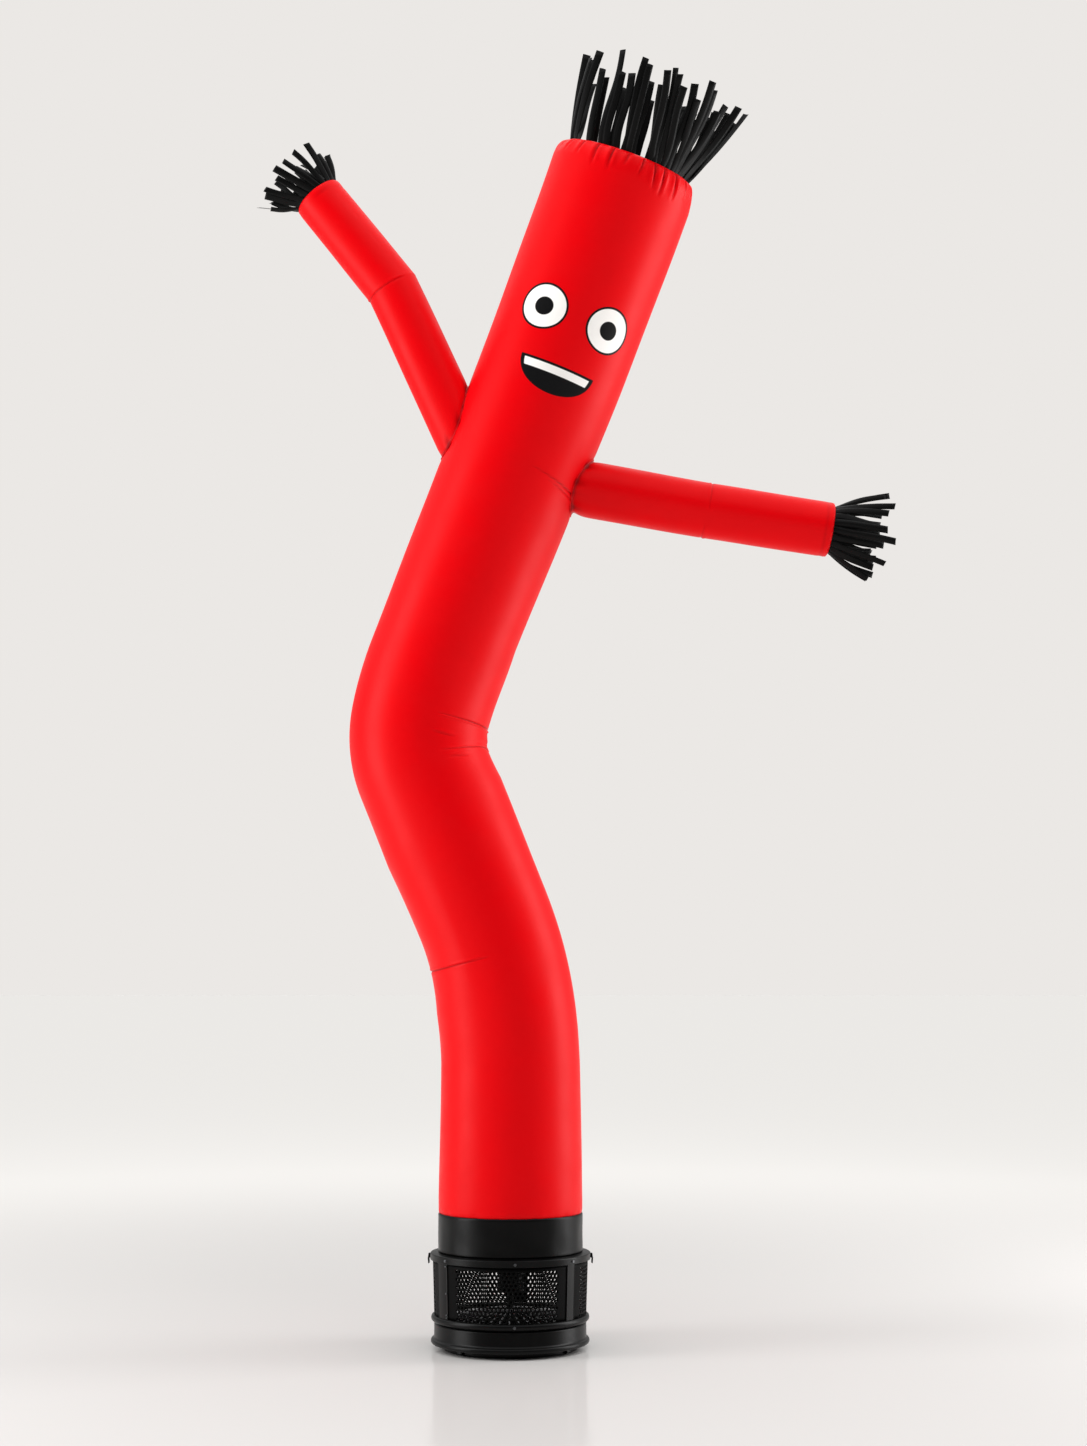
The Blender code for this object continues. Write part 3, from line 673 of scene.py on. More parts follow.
@dataclass(frozen=True)
class Crease:
    """A line pressed into the cloth, from one place to another.

    A place is a length along the piece and a signed compass angle. The cloth sinks by the depth times
    exp(-(distance / width)^2), and stands up beside the line, on the side that ridge_side names, by the
    ridge. Both fade at the line's end, and at its start too where it is open there.
    """

    start: Pair
    end: Pair
    depth: float
    width: float
    ridge: float = 0.0
    ridge_side: int = -1
    open_start: bool = False
    # strength of the painted shade along the line, a darker colour standing in for the crease's shade
    painted_shade: float = 0.9

    def course(self, along: Array, angles: Array, radius: float) -> tuple[Array, Array]:
        """Return the distance across the crease's line and its strength along it.

        Args:
            along: length along the piece, (rings,) or (rings, sides).
            angles: signed compass angles, broadcast with along.
            radius: the piece's radius, which turns angles into metres.

        Returns:
            Distances in metres and strengths 0 to 1, (rings, sides).
        """
        x, y = np.radians(angles) * radius, along
        x0, y0 = math.radians(self.start[1]) * radius, self.start[0]
        x1, y1 = math.radians(self.end[1]) * radius, self.end[0]
        length = math.hypot(x1 - x0, y1 - y0)
        dx, dy = (x1 - x0) / length, (y1 - y0) / length
        share = ((x - x0) * dx + (y - y0) * dy) / length
        across = ((y - y0) * dx - (x - x0) * dy) * (-1 if dx < 0 else 1)
        beyond = np.maximum(np.maximum(-share, share - 1.0), 0.0) * length
        inside = unit(share)
        fade = np.sin(inside * math.pi) ** 0.7 if self.open_start else np.cos(inside * math.pi / 2) ** 0.5
        return across, fade * bell(beyond, self.width)

    def press(self, along: Array, angles: Array, radius: float) -> Array:
        """Return how far the crease moves the cloth outwards: negative in the crease."""
        across, fade = self.course(along, angles, radius)
        raised = bell(across - self.ridge_side * 2.2 * self.width, 1.4 * self.width)
        return fade * (self.ridge * raised - self.depth * bell(across, self.width))

    def shade(self, along: Array, angles: Array, radius: float) -> Array:
        """Return the painted shade along the crease's line at each place, 0 to 1: darker colour standing in for
        the shade in the fold.
        """
        across, fade = self.course(along, angles, radius)
        return self.painted_shade * fade * bell(across, 0.75 * self.width)


@dataclass
class Spine:
    """The line up the middle of the tube, as runs and arcs, and the tube's plain girths along it."""

    foot: float = 0.2958
    runs: tuple[Run, ...] = (
        Run(0.3085, 0.0, 0.0), Run(0.3682, -21.9, 0.0), Run(0.3431, 0.0, 0.0), Run(0.1243, 31.8, 0.0),
        Run(0.1429, 11.5, 0.0), Run(0.6000, 0.0, 5.0), Run(0.6377, -1.3, 6.0),
    )
    girths: tuple[Pair, ...] = (
        (0.000, 0.1592), (0.008, 0.1606), (0.030, 0.1608), (0.350, 0.1561), (1.220, 0.1576), (2.020, 0.1684),
        (2.525, 0.1717),
    )

    @property
    def length(self) -> float:
        """The whole length of the tube."""
        return sum(run.length for run in self.runs)

    def girth(self, along: Array) -> Array:
        """Return the tube's plain radius at each length, straight between the measured girths."""
        return np.interp(along, *zip(*self.girths))

    def axes_at(self, along: Array) -> Axes:
        """Return the spine's centre and axes at each length along it.

        Heading and lean change evenly within a run. The centre is the running sum of the direction
        (sin(heading) cos(lean), -sin(lean), cos(heading) cos(lean)) in short steps.

        Args:
            along: lengths along the spine.

        Returns:
            Centre, rightward axis and backward axis, each (lengths, 3).
        """
        table = np.array([[run.length, math.radians(run.turn), math.radians(run.lean)] for run in self.runs])
        ends, headings, leans = np.concatenate([np.zeros((1, 3)), np.cumsum(table, axis=0)]).T
        fine = np.linspace(0.0, ends[-1], 2001)
        heading, lean = np.interp(fine, ends, headings), np.interp(fine, ends, leans)
        level = np.cos(lean)
        direction = np.stack([np.sin(heading) * level, -np.sin(lean), np.cos(heading) * level], axis=1)
        steps = (direction[1:] + direction[:-1]) / 2 * np.diff(fine)[:, None]
        path = np.concatenate([[[0.0, 0.0, self.foot]], steps]).cumsum(axis=0)
        centre = np.stack([np.interp(along, fine, path[:, axis]) for axis in range(3)], axis=1)
        turned, tipped = np.interp(along, ends, headings), np.interp(along, ends, leans)
        right = np.stack([np.cos(turned), 0 * turned, -np.sin(turned)], axis=1)
        backward = [np.sin(tipped) * np.sin(turned), np.cos(tipped), np.sin(tipped) * np.cos(turned)]
        return centre, right, np.stack(backward, axis=1)

    def offsets(self, points: Array, low: float, high: float) -> tuple[Array, Array]:
        """Measure points from the nearest of the spine's places between two lengths.

        Args:
            points: points, (n, 3).
            low: lowest length to look at.
            high: highest length to look at.

        Returns:
            Each point's offset square to the spine, and the plain girth there.
        """
        along = np.arange(low, high, 0.002)
        centre, right, back = self.axes_at(along)
        nearest = squared_distances(points, centre).argmin(axis=1)
        offset = points - centre[nearest]
        right, back = right[nearest], back[nearest]
        sideways = (offset * right).sum(axis=1, keepdims=True)
        backward = (offset * back).sum(axis=1, keepdims=True)
        return sideways * right + backward * back, self.girth(along)[nearest]

    def clearance(self, points: Array, low: float, high: float) -> Array:
        """Return how far points are outside the plain tube, negative inside it."""
        offset, girth = self.offsets(points, low, high)
        return np.linalg.norm(offset, axis=1) - girth

    def lay_on(self, points: Array, low: float, high: float, height: float) -> Array:
        """Move points square to the spine, to lie a height above the plain tube."""
        offset, girth = self.offsets(points, low, high)
        far = np.linalg.norm(offset, axis=1)
        return points + offset * ((girth + height - far) / far)[:, None]


# ---------------------------------------------------------------- ribbons


@dataclass(frozen=True)
class Fringe:
    """A row of ribbons round a band, which stand out of an open end.

    rows holds the length (mm) and the lean to the right (degrees) of each ribbon on the front half,
    from its left side. The back half is drawn from them in the same manner. roots, where given, says
    where a ribbon's root is for a place of its tip, both as shares of the radius across the band.
    """

    name: str
    replaces: str
    rows: tuple[Pair, ...]
    radius: float
    band_height: float
    ribbon_width: float
    spread: float  # degrees by which the tips open outwards
    seed: int
    inner: int  # ribbons inside the outer ring
    roots: tuple[Pair, ...] = ()
    rise: float = 0.0008  # of the band out of the mouth
    layer_spread: float = 5.0  # degrees more for the second and the third layer of tips
    band_thickness: float = 0.0018
    ribbon_thickness: float = 0.0006
    face_front: float = 0.85  # share of the turn that would face the front
    twist: Pair = (22.0, 50.0)  # most twist in degrees, of the outer ring and inside it
    bow: float = 0.04  # shares of a ribbon's length
    sway: float = 0.020
    wave: float = 0.0035
    dish: float = 0.0022  # hollow across a ribbon
    slant: float = 0.22  # most slant of a cut end, as a share of the width
    parts: int = 12  # of the running sum that places a tip
    steps: int = 18
    columns: int = 5
    band_sides: int = 96

    def ribbons(self) -> Array:
        """Return length, lean, opening, twist, compass angle and depth inwards of each ribbon, (n, 6)."""
        uneven = random.Random(self.seed)
        lengths = sorted(length for length, _ in self.rows)
        back = []
        for _, lean in reversed(self.rows):
            length = uneven.uniform(lengths[1], lengths[-2])
            back.append((length, lean * 0.8 + uneven.uniform(-self.spread, self.spread) / 3))
        outer = list(self.rows) + back
        pitch = 360.0 / len(outer)
        found = []
        for index, (length, lean) in enumerate(outer):
            opening = self.spread + self.layer_spread * (index % 3)
            turn = uneven.uniform(-self.twist[0], self.twist[0])
            found.append((length / 1000.0, lean, opening, turn, 270.0 + pitch * (index + 0.5), 0.0))
        mean_lean = sum(lean for _, lean in outer) / len(outer)
        for index in range(self.inner):
            angle = 360.0 * (index + uneven.uniform(-0.3, 0.3)) / self.inner
            length = uneven.uniform(lengths[0], lengths[len(lengths) // 2]) / 1000.0 * 0.95
            lean = mean_lean + uneven.uniform(-7.0, 7.0)
            depth = self.radius * uneven.uniform(0.08, 0.42)
            opening, turn = uneven.uniform(-4.0, 6.0), uneven.uniform(-self.twist[1], self.twist[1])
            found.append((length, lean, opening, turn, angle, depth))
        return np.array(found)

    def ends(self, start_at: Array, axes: Axes) -> tuple[Array, Array, Array]:
        """Place each ribbon's two ends.

        A tip is the running sum, from the band, of the direction (1, tan(lean (0.5 + q)),
        tan(opening (0.5 + q))) along the end, to the right and out from the ring, q being 0 at the
        band and 1 at the tip. Where roots are given, the root is then moved round to match the tip.

        Args:
            start_at: middle of the band.
            axes: direction out of the end, rightward axis and backward axis.

        Returns:
            Roots and tips, each (n, 3), and the roots' compass angles, (n, 1).
        """
        direction, right, back = axes
        length, lean, opening, _, angle, depth = (column[:, None] for column in self.ribbons().T)
        middle = (np.arange(self.parts) + 0.5) / self.parts
        leaning = np.tan(np.radians(lean) * (0.5 + middle))[:, :, None]
        opened = np.tan(np.radians(opening) * (0.5 + middle))[:, :, None]
        out = outwards(angle[:, 0], right, back)
        course = direction + leaning * right + opened * out[:, None, :]
        course /= np.linalg.norm(course, axis=2, keepdims=True)
        inset = self.radius - self.band_thickness / 2 - depth
        tip = start_at + out * inset + (course * length[:, :, None] / self.parts).sum(axis=1)
        if self.roots:
            across_tip = ((tip - start_at) @ right) / self.radius
            across_root = np.interp(across_tip, *np.array(self.roots).T)[:, None]
            moved = np.degrees(np.arcsin(np.clip(across_root, -1.0, 1.0)))
            angle = np.where(np.cos(np.radians(angle)) >= 0, moved, 180.0 - moved)
        return start_at + outwards(angle[:, 0], right, back) * inset, tip, angle

    def build(self, centre: Array, axes: Axes, finish: Finish) -> Object:
        """Build the fringe.

        A ribbon's middle line runs from root to tip, bows out by a share of sin(pi q) and sways by
        sin(2 pi q). Its width starts along the band, turns towards the front as the square root of q,
        and twists besides. It waves a little towards its tip, and its cut end is slanted.

        Args:
            centre: middle of the open end.
            axes: direction out of the end, rightward axis and backward axis.
            finish: the ribbons' finish.

        Returns:
            The fringe.
        """
        direction, right, back = axes
        start_at = centre + direction * self.rise
        first, tip, angle = self.ends(start_at, axes)
        length, _, _, twist, _, _ = (column[:, None] for column in self.ribbons().T)
        out = outwards(angle[:, 0], right, back)
        sideways = np.cos(np.radians(angle)) * right + np.sin(np.radians(angle)) * back
        uneven = np.random.default_rng(self.seed)
        count = len(first)
        reach = np.append([0.0, 0.0], (np.arange(self.steps) + 1.0) / self.steps)
        bow = uneven.uniform(0.2, 1.0, (count, 1)) * length * self.bow
        path = first[:, None, :] + (tip - first)[:, None, :] * reach[None, :, None]
        path = path + out[:, None, :] * (bow * np.sin(math.pi * reach)[None, :])[:, :, None]
        path[:, 0] = first - direction * self.band_height * 0.8
        sway = uneven.uniform(-self.sway, self.sway, (count, 1)) * length
        path = path + sideways[:, None, :] * (sway * np.sin(2 * math.pi * reach**0.9)[None, :])[:, :, None]
        course = np.gradient(path, axis=1)
        course /= np.linalg.norm(course, axis=2, keepdims=True)
        facing = signed_angle(2 * angle) / 2 * self.face_front * uneven.uniform(0.5, 1.0, (count, 1))
        turned = np.radians(facing * np.sqrt(reach) + twist * reach)[:, :, None]
        across = sideways[:, None, :] * np.cos(turned) + out[:, None, :] * np.sin(turned)
        across -= course * (across * course).sum(axis=2, keepdims=True)
        across /= np.linalg.norm(across, axis=2, keepdims=True)
        normal = np.cross(across, course)
        wave = uneven.uniform(-self.wave, self.wave, (count, 1)) * np.sin(
            reach[None, :] * uneven.uniform(2.5, 5.5, (count, 1)) + uneven.uniform(0.0, 6.0, (count, 1))
        )
        path = path + normal * (wave * reach[None, :])[:, :, None]
        slant = uneven.uniform(-self.slant, self.slant, (count, 1, 1))
        across_share = np.linspace(-0.5, 0.5, self.columns) * uneven.uniform(0.85, 1.18, (count, 1, 1))
        dish = uneven.uniform(0.0, self.dish, (count, 1, 1)) * (1.0 - (2 * across_share) ** 2)
        rows = self.steps + 2
        at_end = (np.arange(rows) == rows - 1)[None, :, None]
        shift = at_end * slant * across_share * self.ribbon_width
        shift = np.clip(shift, -0.6 * length[:, :, None] / self.steps, None)
        offset = across_share * self.ribbon_width
        points = path[:, :, None] + across[:, :, None] * offset[..., None]
        points = points + normal[:, :, None] * dish[..., None] + course[:, :, None] * shift[..., None]
        size = rows * self.columns
        every = repeated(patch_quads(rows, self.columns), count, size)
        u = offset + np.arange(count)[:, None, None] * 0.05
        v = reach[None, :, None] * length[:, :, None]
        places = np.stack(np.broadcast_arrays(u, v), axis=3).reshape(-1, 2)

        # The band that they grow out of is a plain ring.
        levels = np.linspace(-self.band_height, 0.0, 3)
        angles = compass_angles(self.band_sides)
        band = ring_points(start_at + direction * levels[:, None], right, back, angles, self.radius)
        corners, mapped = sleeve_quads(len(levels), self.band_sides)
        ring_places = cloth_places(angles, levels, 2 * math.pi * self.radius)
        piece = make_piece(
            self.name,
            np.concatenate([points.reshape(-1, 3), band.reshape(-1, 3)]),
            [np.concatenate([every, corners + count * size])],
            finish,
            self.replaces,
            [np.concatenate([places[every], ring_places[mapped]])],
        )
        thicken(piece, self.ribbon_thickness)
        return piece


# ---------------------------------------------------------------- arms


@dataclass(frozen=True)
class Arm:
    """An arm: a sewn sleeve from the tube's side to the hand, mitred at the elbow."""

    side: str
    elbow: Point
    hand: Point
    direction: float  # of the upper arm, in degrees to the right of upright
    reach_in: float  # from the elbow, past the seam
    root_radius: float
    elbow_radius: float
    hand_radius: float
    joint: Pair  # the stretch of the tube that it is sewn to
    fringe: Fringe
    creases: tuple[Crease, ...] = ()
    pinch: float = 0.0  # depth, beside the seam
    pinch_side: float = 180.0
    pinch_reach: float = 110.0
    lip: float = 0.010  # length over which the hand closes in to its mouth
    mouth_radius: float = 0.0560
    flange: float = 0.0050  # width of the sewn edge
    sides: int = 96
    valley: float = 0.0012  # how deep and how wide the seam draws in the tube's cloth
    valley_width: float = 0.0130
    pucker_depth: Pair = (0.0016, 0.0012)  # even and uneven
    swell: float = 0.0005
    hem: Point = (0.016, 0.0022, 0.0008)  # its stitching: way in from the hand, width and depth

    def axes(self, heading: float) -> Axes:
        """Return the direction, rightward and backward axes of a sleeve with this heading in degrees."""
        turn = math.radians(heading)
        direction = np.array([math.sin(turn), 0.0, math.cos(turn)])
        return direction, np.array([math.cos(turn), 0.0, -math.sin(turn)]), np.array([0.0, 1.0, 0.0])

    def pucker(self) -> Array:
        """Return the seam's uneven puckers round the sleeve, about -1 to 1."""
        turn = np.radians(compass_angles(self.sides))
        return np.sin(7 * turn + 0.6) * 0.5 + np.sin(11 * turn + 2.1) * 0.35 + np.sin(17 * turn + 0.4) * 0.25

    def seam(self, spine: Spine) -> tuple[Array, Array]:
        """Find where the sleeve meets the tube.

        Each line of the sleeve, parallel to its axis, is followed from the elbow inwards to the first
        place inside the plain tube.

        Args:
            spine: the tube's spine.

        Returns:
            The meeting points, (sides, 3), and their distances from the elbow's plane, (sides,).
        """
        upper, right, back = self.axes(self.direction)
        far_in = np.linspace(0.0, self.reach_in, 301)
        radii = self.elbow_radius + (self.root_radius - self.elbow_radius) * (far_in / self.reach_in)
        centres = np.array(self.elbow) - upper * far_in[:, None]
        lines = ring_points(centres, right, back, compass_angles(self.sides), radii[:, None])
        clear = spine.clearance(lines.reshape(-1, 3), *self.joint).reshape(lines.shape[:2])
        first = (clear < 0).argmax(axis=0)
        column = np.arange(self.sides)
        high, low = clear[first - 1, column], clear[first, column]
        mix = high / (high - low)
        points = lines[first - 1, column] + (lines[first, column] - lines[first - 1, column]) * mix[:, None]
        return points, far_in[first - 1] + (far_in[first] - far_in[first - 1]) * mix

    def rings(self, spine: Spine, seam: Array, heading: float) -> tuple[Array, int, int]:
        """Return the sleeve before its folds.

        Each line of the sleeve runs straight from the seam to the mitre at the elbow and on to the
        hand. Its rows are close together near the seam and at the elbow.

        Args:
            spine: the tube's spine.
            seam: the meeting points with the tube, (sides, 3).
            heading: heading of the forearm in degrees.

        Returns:
            Points, (rings, sides, 3), the ring at the seam and the ring at the elbow.
        """
        elbow, hand, angles = np.array(self.elbow), np.array(self.hand), compass_angles(self.sides)
        upper, upper_right, back = self.axes(self.direction)
        lower, lower_right, _ = self.axes(heading)
        _, mitre_right, _ = self.axes((self.direction + heading) / 2)
        out_root, out_hand = outwards(angles, upper_right, back), outwards(angles, lower_right, back)
        hem = spine.lay_on(seam + out_root * self.flange, *self.joint, CLOTH)
        # From the flange inside the tube to the inside of the mouth
        lines = (
            spine.lay_on(hem + out_root * 0.0004, *self.joint, -CLOTH),
            hem,
            seam,
            seam + upper * self.flange,
            elbow + self.elbow_radius * outwards(angles, mitre_right, back),
            hand - lower * self.lip + self.hand_radius * out_hand,
            hand - lower * self.lip * 0.35 + (self.hand_radius - 0.0010) * out_hand,
            hand + self.mouth_radius * out_hand,
            hand - lower * 0.006 + (self.mouth_radius - 0.0012) * out_hand,
        )
        near_both = (1.0 - np.cos(np.linspace(0.0, math.pi, 62))) / 2
        shares = (
            np.array([0.0, 1.0]),
            np.array([0.5, 1.0]),
            np.array([0.5, 1.0]),
            (0.3 * np.linspace(0.0, 1.0, 62) + 0.7 * near_both)[1:],
            np.linspace(0.0, 1.0, 54)[1:] ** 1.3,
            np.linspace(0.0, 1.0, 5)[1:],
            np.linspace(0.0, 1.0, 5)[1:],
            np.linspace(0.0, 1.0, 4)[1:],
        )
        rows = [low + (high - low) * share[:, None, None] for low, high, share in zip(lines, lines[1:], shares)]
        seam_row, elbow_row = (sum(len(share) for share in shares[:count]) - 1 for count in (2, 4))
        return np.concatenate(rows), seam_row, elbow_row

    def relief(self, run: Array, seam_row: int, elbow_row: int, length: float) -> tuple[Array, Array]:
        """Return the sleeve's folds: creases, puckers and a pinch at the seam, slow swells and the hem.

        Args:
            run: length along each line from the first ring, (rings, sides).
            seam_row: ring at the seam.
            elbow_row: ring at the elbow.
            length: length of the forearm.

        Returns:
            How far each point moves outwards, and the painted shade at each point, darker in creases, at the
            seam and its puckers and along the hem, (rings, sides).
        """
        angles, pucker = compass_angles(self.sides), self.pucker()[None, :]
        along, past_seam = run - run[elbow_row], run - run[seam_row]
        from_seam = np.clip(past_seam, 0.0, None)
        moved, shade = np.zeros(run.shape), np.zeros(run.shape)
        for crease in self.creases:
            moved += crease.press(along, signed_angle(angles)[None, :], self.elbow_radius)
            shade += crease.shade(along, signed_angle(angles)[None, :], self.elbow_radius)
        depth, uneven = self.pucker_depth
        moved -= bell(from_seam - 0.004, 0.010) * (depth + uneven * pucker)
        # Painted shade along the seam and over the puckers beside it
        shade += (0.80 + 0.25 * pucker) * bell(past_seam - 0.001, 0.0050)
        shade += 0.6 * unit(pucker) * bell(from_seam, 0.020)
        pinched = np.cos(unit(angle_from(angles, self.pinch_side) / self.pinch_reach) * math.pi / 2) ** 2
        moved -= self.pinch * bell(from_seam, 0.022) * pinched[None, :]
        swell = np.sin(along * 21.0 + 2.0 * np.sin(np.radians(angles))[None, :] + self.elbow[2])
        moved += self.swell * swell * unit(1.0 - np.abs(along) / length)
        way_in, width, depth = self.hem
        stitched = bell(along - length + way_in, width)
        moved -= depth * stitched
        # Painted shade along the hem's stitching
        shade += 0.25 * stitched
        return moved * unit(np.minimum(from_seam / 0.003, (run[-1:] - run) / 0.012)), shade

    def build(self, spine: Spine, finish: Finish, ribbon: Finish) -> Object:
        """Args:
            spine: the tube's spine.
            finish: the cloth's finish.
            ribbon: the fringe's finish.

        Returns:
            The sleeve.
        """
        elbow, hand, angles = np.array(self.elbow), np.array(self.hand), compass_angles(self.sides)
        length = float(np.linalg.norm(hand - elbow))
        heading = math.degrees(math.atan2(hand[0] - elbow[0], hand[2] - elbow[2]))
        _, upper_right, back = self.axes(self.direction)
        lower, lower_right, _ = self.axes(heading)
        seam, seam_far = self.seam(spine)
        points, seam_row, elbow_row = self.rings(spine, seam, heading)
        steps = np.linalg.norm(np.diff(points, axis=0), axis=2)
        run = np.concatenate([np.zeros((1, self.sides)), np.cumsum(steps, axis=0)])
        moved, shade = self.relief(run, seam_row, elbow_row, length)
        right_rows = np.where(np.arange(len(points))[:, None, None] <= elbow_row, upper_right, lower_right)
        points = points + outwards(angles, right_rows, back) * moved[:, :, None]

        corners, mapped = sleeve_quads(len(points), self.sides)
        girth = 2 * math.pi * self.elbow_radius
        places = [cloth_places(angles, run - run[elbow_row] + 1.0, girth)[mapped]]
        node = f"arm_{self.side}"
        sleeve = make_piece(f"{node}_sleeve", points, [corners], finish, node, places, shade)
        thicken(sleeve, CLOTH)
        ribbons = self.fringe.build(hand, (lower, lower_right, back), ribbon)
        return sleeve


# ---------------------------------------------------------------- the tube


@dataclass(frozen=True)
class Fold:
    """A soft fold on the inner side of a bend: length along, side and reach in degrees, width, depth."""

    along: float
    side: float
    reach: float
    width: float
    depth: float

    def press(self, along: Array, angles: Array) -> Array:
        """Return the fold's depth: (1 - (distance / width)^2) times cos of the share of its reach."""
        across = unit(1.0 - (np.abs(along - self.along) / self.width) ** 2)
        share = unit(angle_from(angles, self.side) / self.reach)
        return self.depth * across[:, None] * np.cos(share * math.pi / 2)[None, :]


@dataclass
class Tube:
    """The body: one sewn sleeve of red cloth from the cuff to the fringed mouth."""

    spine: Spine
    shoulders: Pair = (0.036, 0.062)  # height of the head's shoulder on the left and on the right
    mouth_radius: float = 0.1465
    gathers: int = 16
    gather_depth: float = 0.0050
    mouth_wave: float = 0.0016
    back_pleats: int = 15
    pleat_width: float = 0.0028
    pleat_ridge: Point = (0.5, 0.0080, 0.0046)  # share of the pleat's depth, distance from it, width
    crease_radius: float = 0.16  # of the tube and of the head, which turn angles into metres
    pleat_radius: float = 0.165
    back_seam: Pair = (0.0010, 0.0030)  # height and width of its ridge
    seam_dips: Point = (0.0009, 0.0090, 0.0050)  # depth, distance from the seam, width
    foot_ripple: Point = (0.0010, 0.004, 0.007)  # depth, height over the foot, width
    swell: float = 0.0006
    steps: Pair = (2.15, 5.0)  # degrees between columns at the front and at the back
    head_fineness: int = 2
    head_height: float = 0.078
    plain_step: float = 0.016
    folds: tuple[Fold, ...] = (
        Fold(0.655, 270.0, 65.0, 0.190, 0.0078), Fold(1.086, 90.0, 66.0, 0.070, -0.0016),
        Fold(1.008, 90.0, 60.0, 0.060, 0.0040), Fold(1.260, 90.0, 60.0, 0.115, -0.0040),
    )
    creases: tuple[Crease, ...] = (
        # lower bend, from the left side to the front and to the back
        Crease((0.579, -97.0), (0.571, -4.0), 0.0028, 0.0022, 0.0012, 1),
        Crease((0.579, -93.0), (0.586, -150.0), 0.0026, 0.0024, 0.0010, 1),
        # middle bend, upper line, with a ridge under it
        Crease((1.149, 97.0), (1.152, 18.0), 0.0032, 0.0020, 0.0018, -1),
        Crease((1.149, 93.0), (1.160, 150.0), 0.0026, 0.0024, 0.0010, -1),
        # middle bend, lower line
        Crease((1.008, 97.0), (1.046, 20.0), 0.0028, 0.0020, 0.0014, 1, painted_shade=0.75),
        Crease((1.008, 93.0), (1.002, 145.0), 0.0024, 0.0024, 0.0010, 1),
        # short puckers between and under them
        Crease((1.102, 15.0), (1.082, 35.0), 0.0018, 0.0024, 0.0012, 1, True, 0.35),
        Crease((1.020, 24.0), (1.008, 44.0), 0.0014, 0.0024, 0.0010, 1, True, 0.3),
        # pull lines from the right armpit towards the face
        Crease((1.748, 84.0), (1.770, 18.0), 0.0022, 0.0019, 0.0010, 1, painted_shade=0.85),
        Crease((1.736, 82.0), (1.756, 34.0), 0.0016, 0.0019, 0.0008, -1, painted_shade=0.60),
    )
    # signed compass angle, length down from the mouth, depth
    head_pleats: tuple[Point, ...] = (
        (-66.0, 0.026, 0.0030), (-52.0, 0.034, 0.0040), (-38.0, 0.040, 0.0048), (-24.0, 0.056, 0.0056),
        (-10.0, 0.060, 0.0056), (4.0, 0.036, 0.0036), (17.0, 0.050, 0.0046), (27.0, 0.066, 0.0060),
        (37.0, 0.074, 0.0062), (50.0, 0.068, 0.0058), (64.0, 0.052, 0.0046), (80.0, 0.054, 0.0046),
    )

    def shoulder_rise(self, along: Array, angles: Array) -> Array:
        """Return how far up the head's shoulder each place is, 0 to 1. It is taller on the right."""
        left, right = self.shoulders
        height = ((right + left) / 2 + (right - left) / 2 * np.sin(np.radians(angles)))[None, :]
        return unit((along[:, None] - self.spine.length + height) / height)

    def soft_gathers(self, angles: Array) -> Array:
        """Return the depth of the shoulder's uneven gathers at each angle, 0 to 1."""
        uneven = random.Random(4)
        depth = np.zeros_like(angles)
        pitch = 360.0 / self.gathers
        for index in range(self.gathers):
            middle = (index + uneven.uniform(-0.22, 0.22)) * pitch
            strength = uneven.uniform(0.5, 1.0)
            pinch = unit(1.0 - angle_from(angles, middle) / (0.55 * pitch))
            depth = np.maximum(depth, strength * pinch**1.5)
        return depth

    def all_pleats(self) -> list[Point]:
        """Return the pleats of the front, and those of the back, which are drawn."""
        uneven = random.Random(9)
        around = []
        for index in range(self.back_pleats):
            angle = 96.0 + index * 13.2 + uneven.uniform(-3.5, 3.5)
            reach, depth = uneven.uniform(0.026, 0.070), uneven.uniform(0.003, 0.0060)
            around.append((float(signed_angle(angle)), reach, depth))
        return list(self.head_pleats) + around

    def pleat_lines(self, along: Array, angles: Array) -> Iterator[tuple[Array, Array]]:
        """Yield each head pleat's distance across, and its depth along, on the grid.

        A pleat wanders a little to one side on its way down, and is deepest under the mouth.
        """
        down = self.spine.length - along
        for middle, reach, depth in self.all_pleats():
            wander = middle + 2.2 * math.sin(middle) * np.clip(down / reach, 0.0, 1.5)
            off = np.radians(signed_angle(signed_angle(angles)[None, :] - wander[:, None])) * self.pleat_radius
            fade = unit(1.0 - down / reach) ** 0.8 * unit(down / 0.006)
            yield off, depth * fade[:, None]

    def shade(self, along: Array, angles: Array) -> Array:
        """Return the painted shade on the grid, 0 to 1: darker colour standing in for the shade in creases and
        pleats.
        """
        signed = signed_angle(angles)[None, :]
        shade = sum(crease.shade(along[:, None], signed, self.crease_radius) for crease in self.creases)
        for off, depth in self.pleat_lines(along, angles):
            shade += unit(depth / 0.0042) * bell(off, 0.0021)
        return shade

    def radii(self, along: Array, angles: Array) -> Array:
        """Return the tube's radius on a grid of lengths by angles.

        It is the plain girth, less a quarter-round shoulder that closes to the mouth, less the folds,
        creases, gathers and pleats.

        Args:
            along: lengths along the spine.
            angles: compass angles.

        Returns:
            Radii, (lengths, angles).
        """
        girth = self.spine.girth(along)
        rise = self.shoulder_rise(along, angles)
        radii = girth[:, None] - (girth - self.mouth_radius)[:, None] * (1.0 - np.sqrt(1.0 - rise**2))
        for fold in self.folds:
            radii -= fold.press(along, angles)
        for crease in self.creases:
            radii += crease.press(along[:, None], signed_angle(angles)[None, :], self.crease_radius)
        strength = 0.55 * self.gather_depth * np.sin(rise * math.pi) ** 0.7 + self.mouth_wave * rise**4
        radii -= strength * self.soft_gathers(angles)[None, :]
        share, apart, width = self.pleat_ridge
        for off, depth in self.pleat_lines(along, angles):
            radii -= depth * (bell(off, self.pleat_width) - share * bell(np.abs(off) - apart, width))
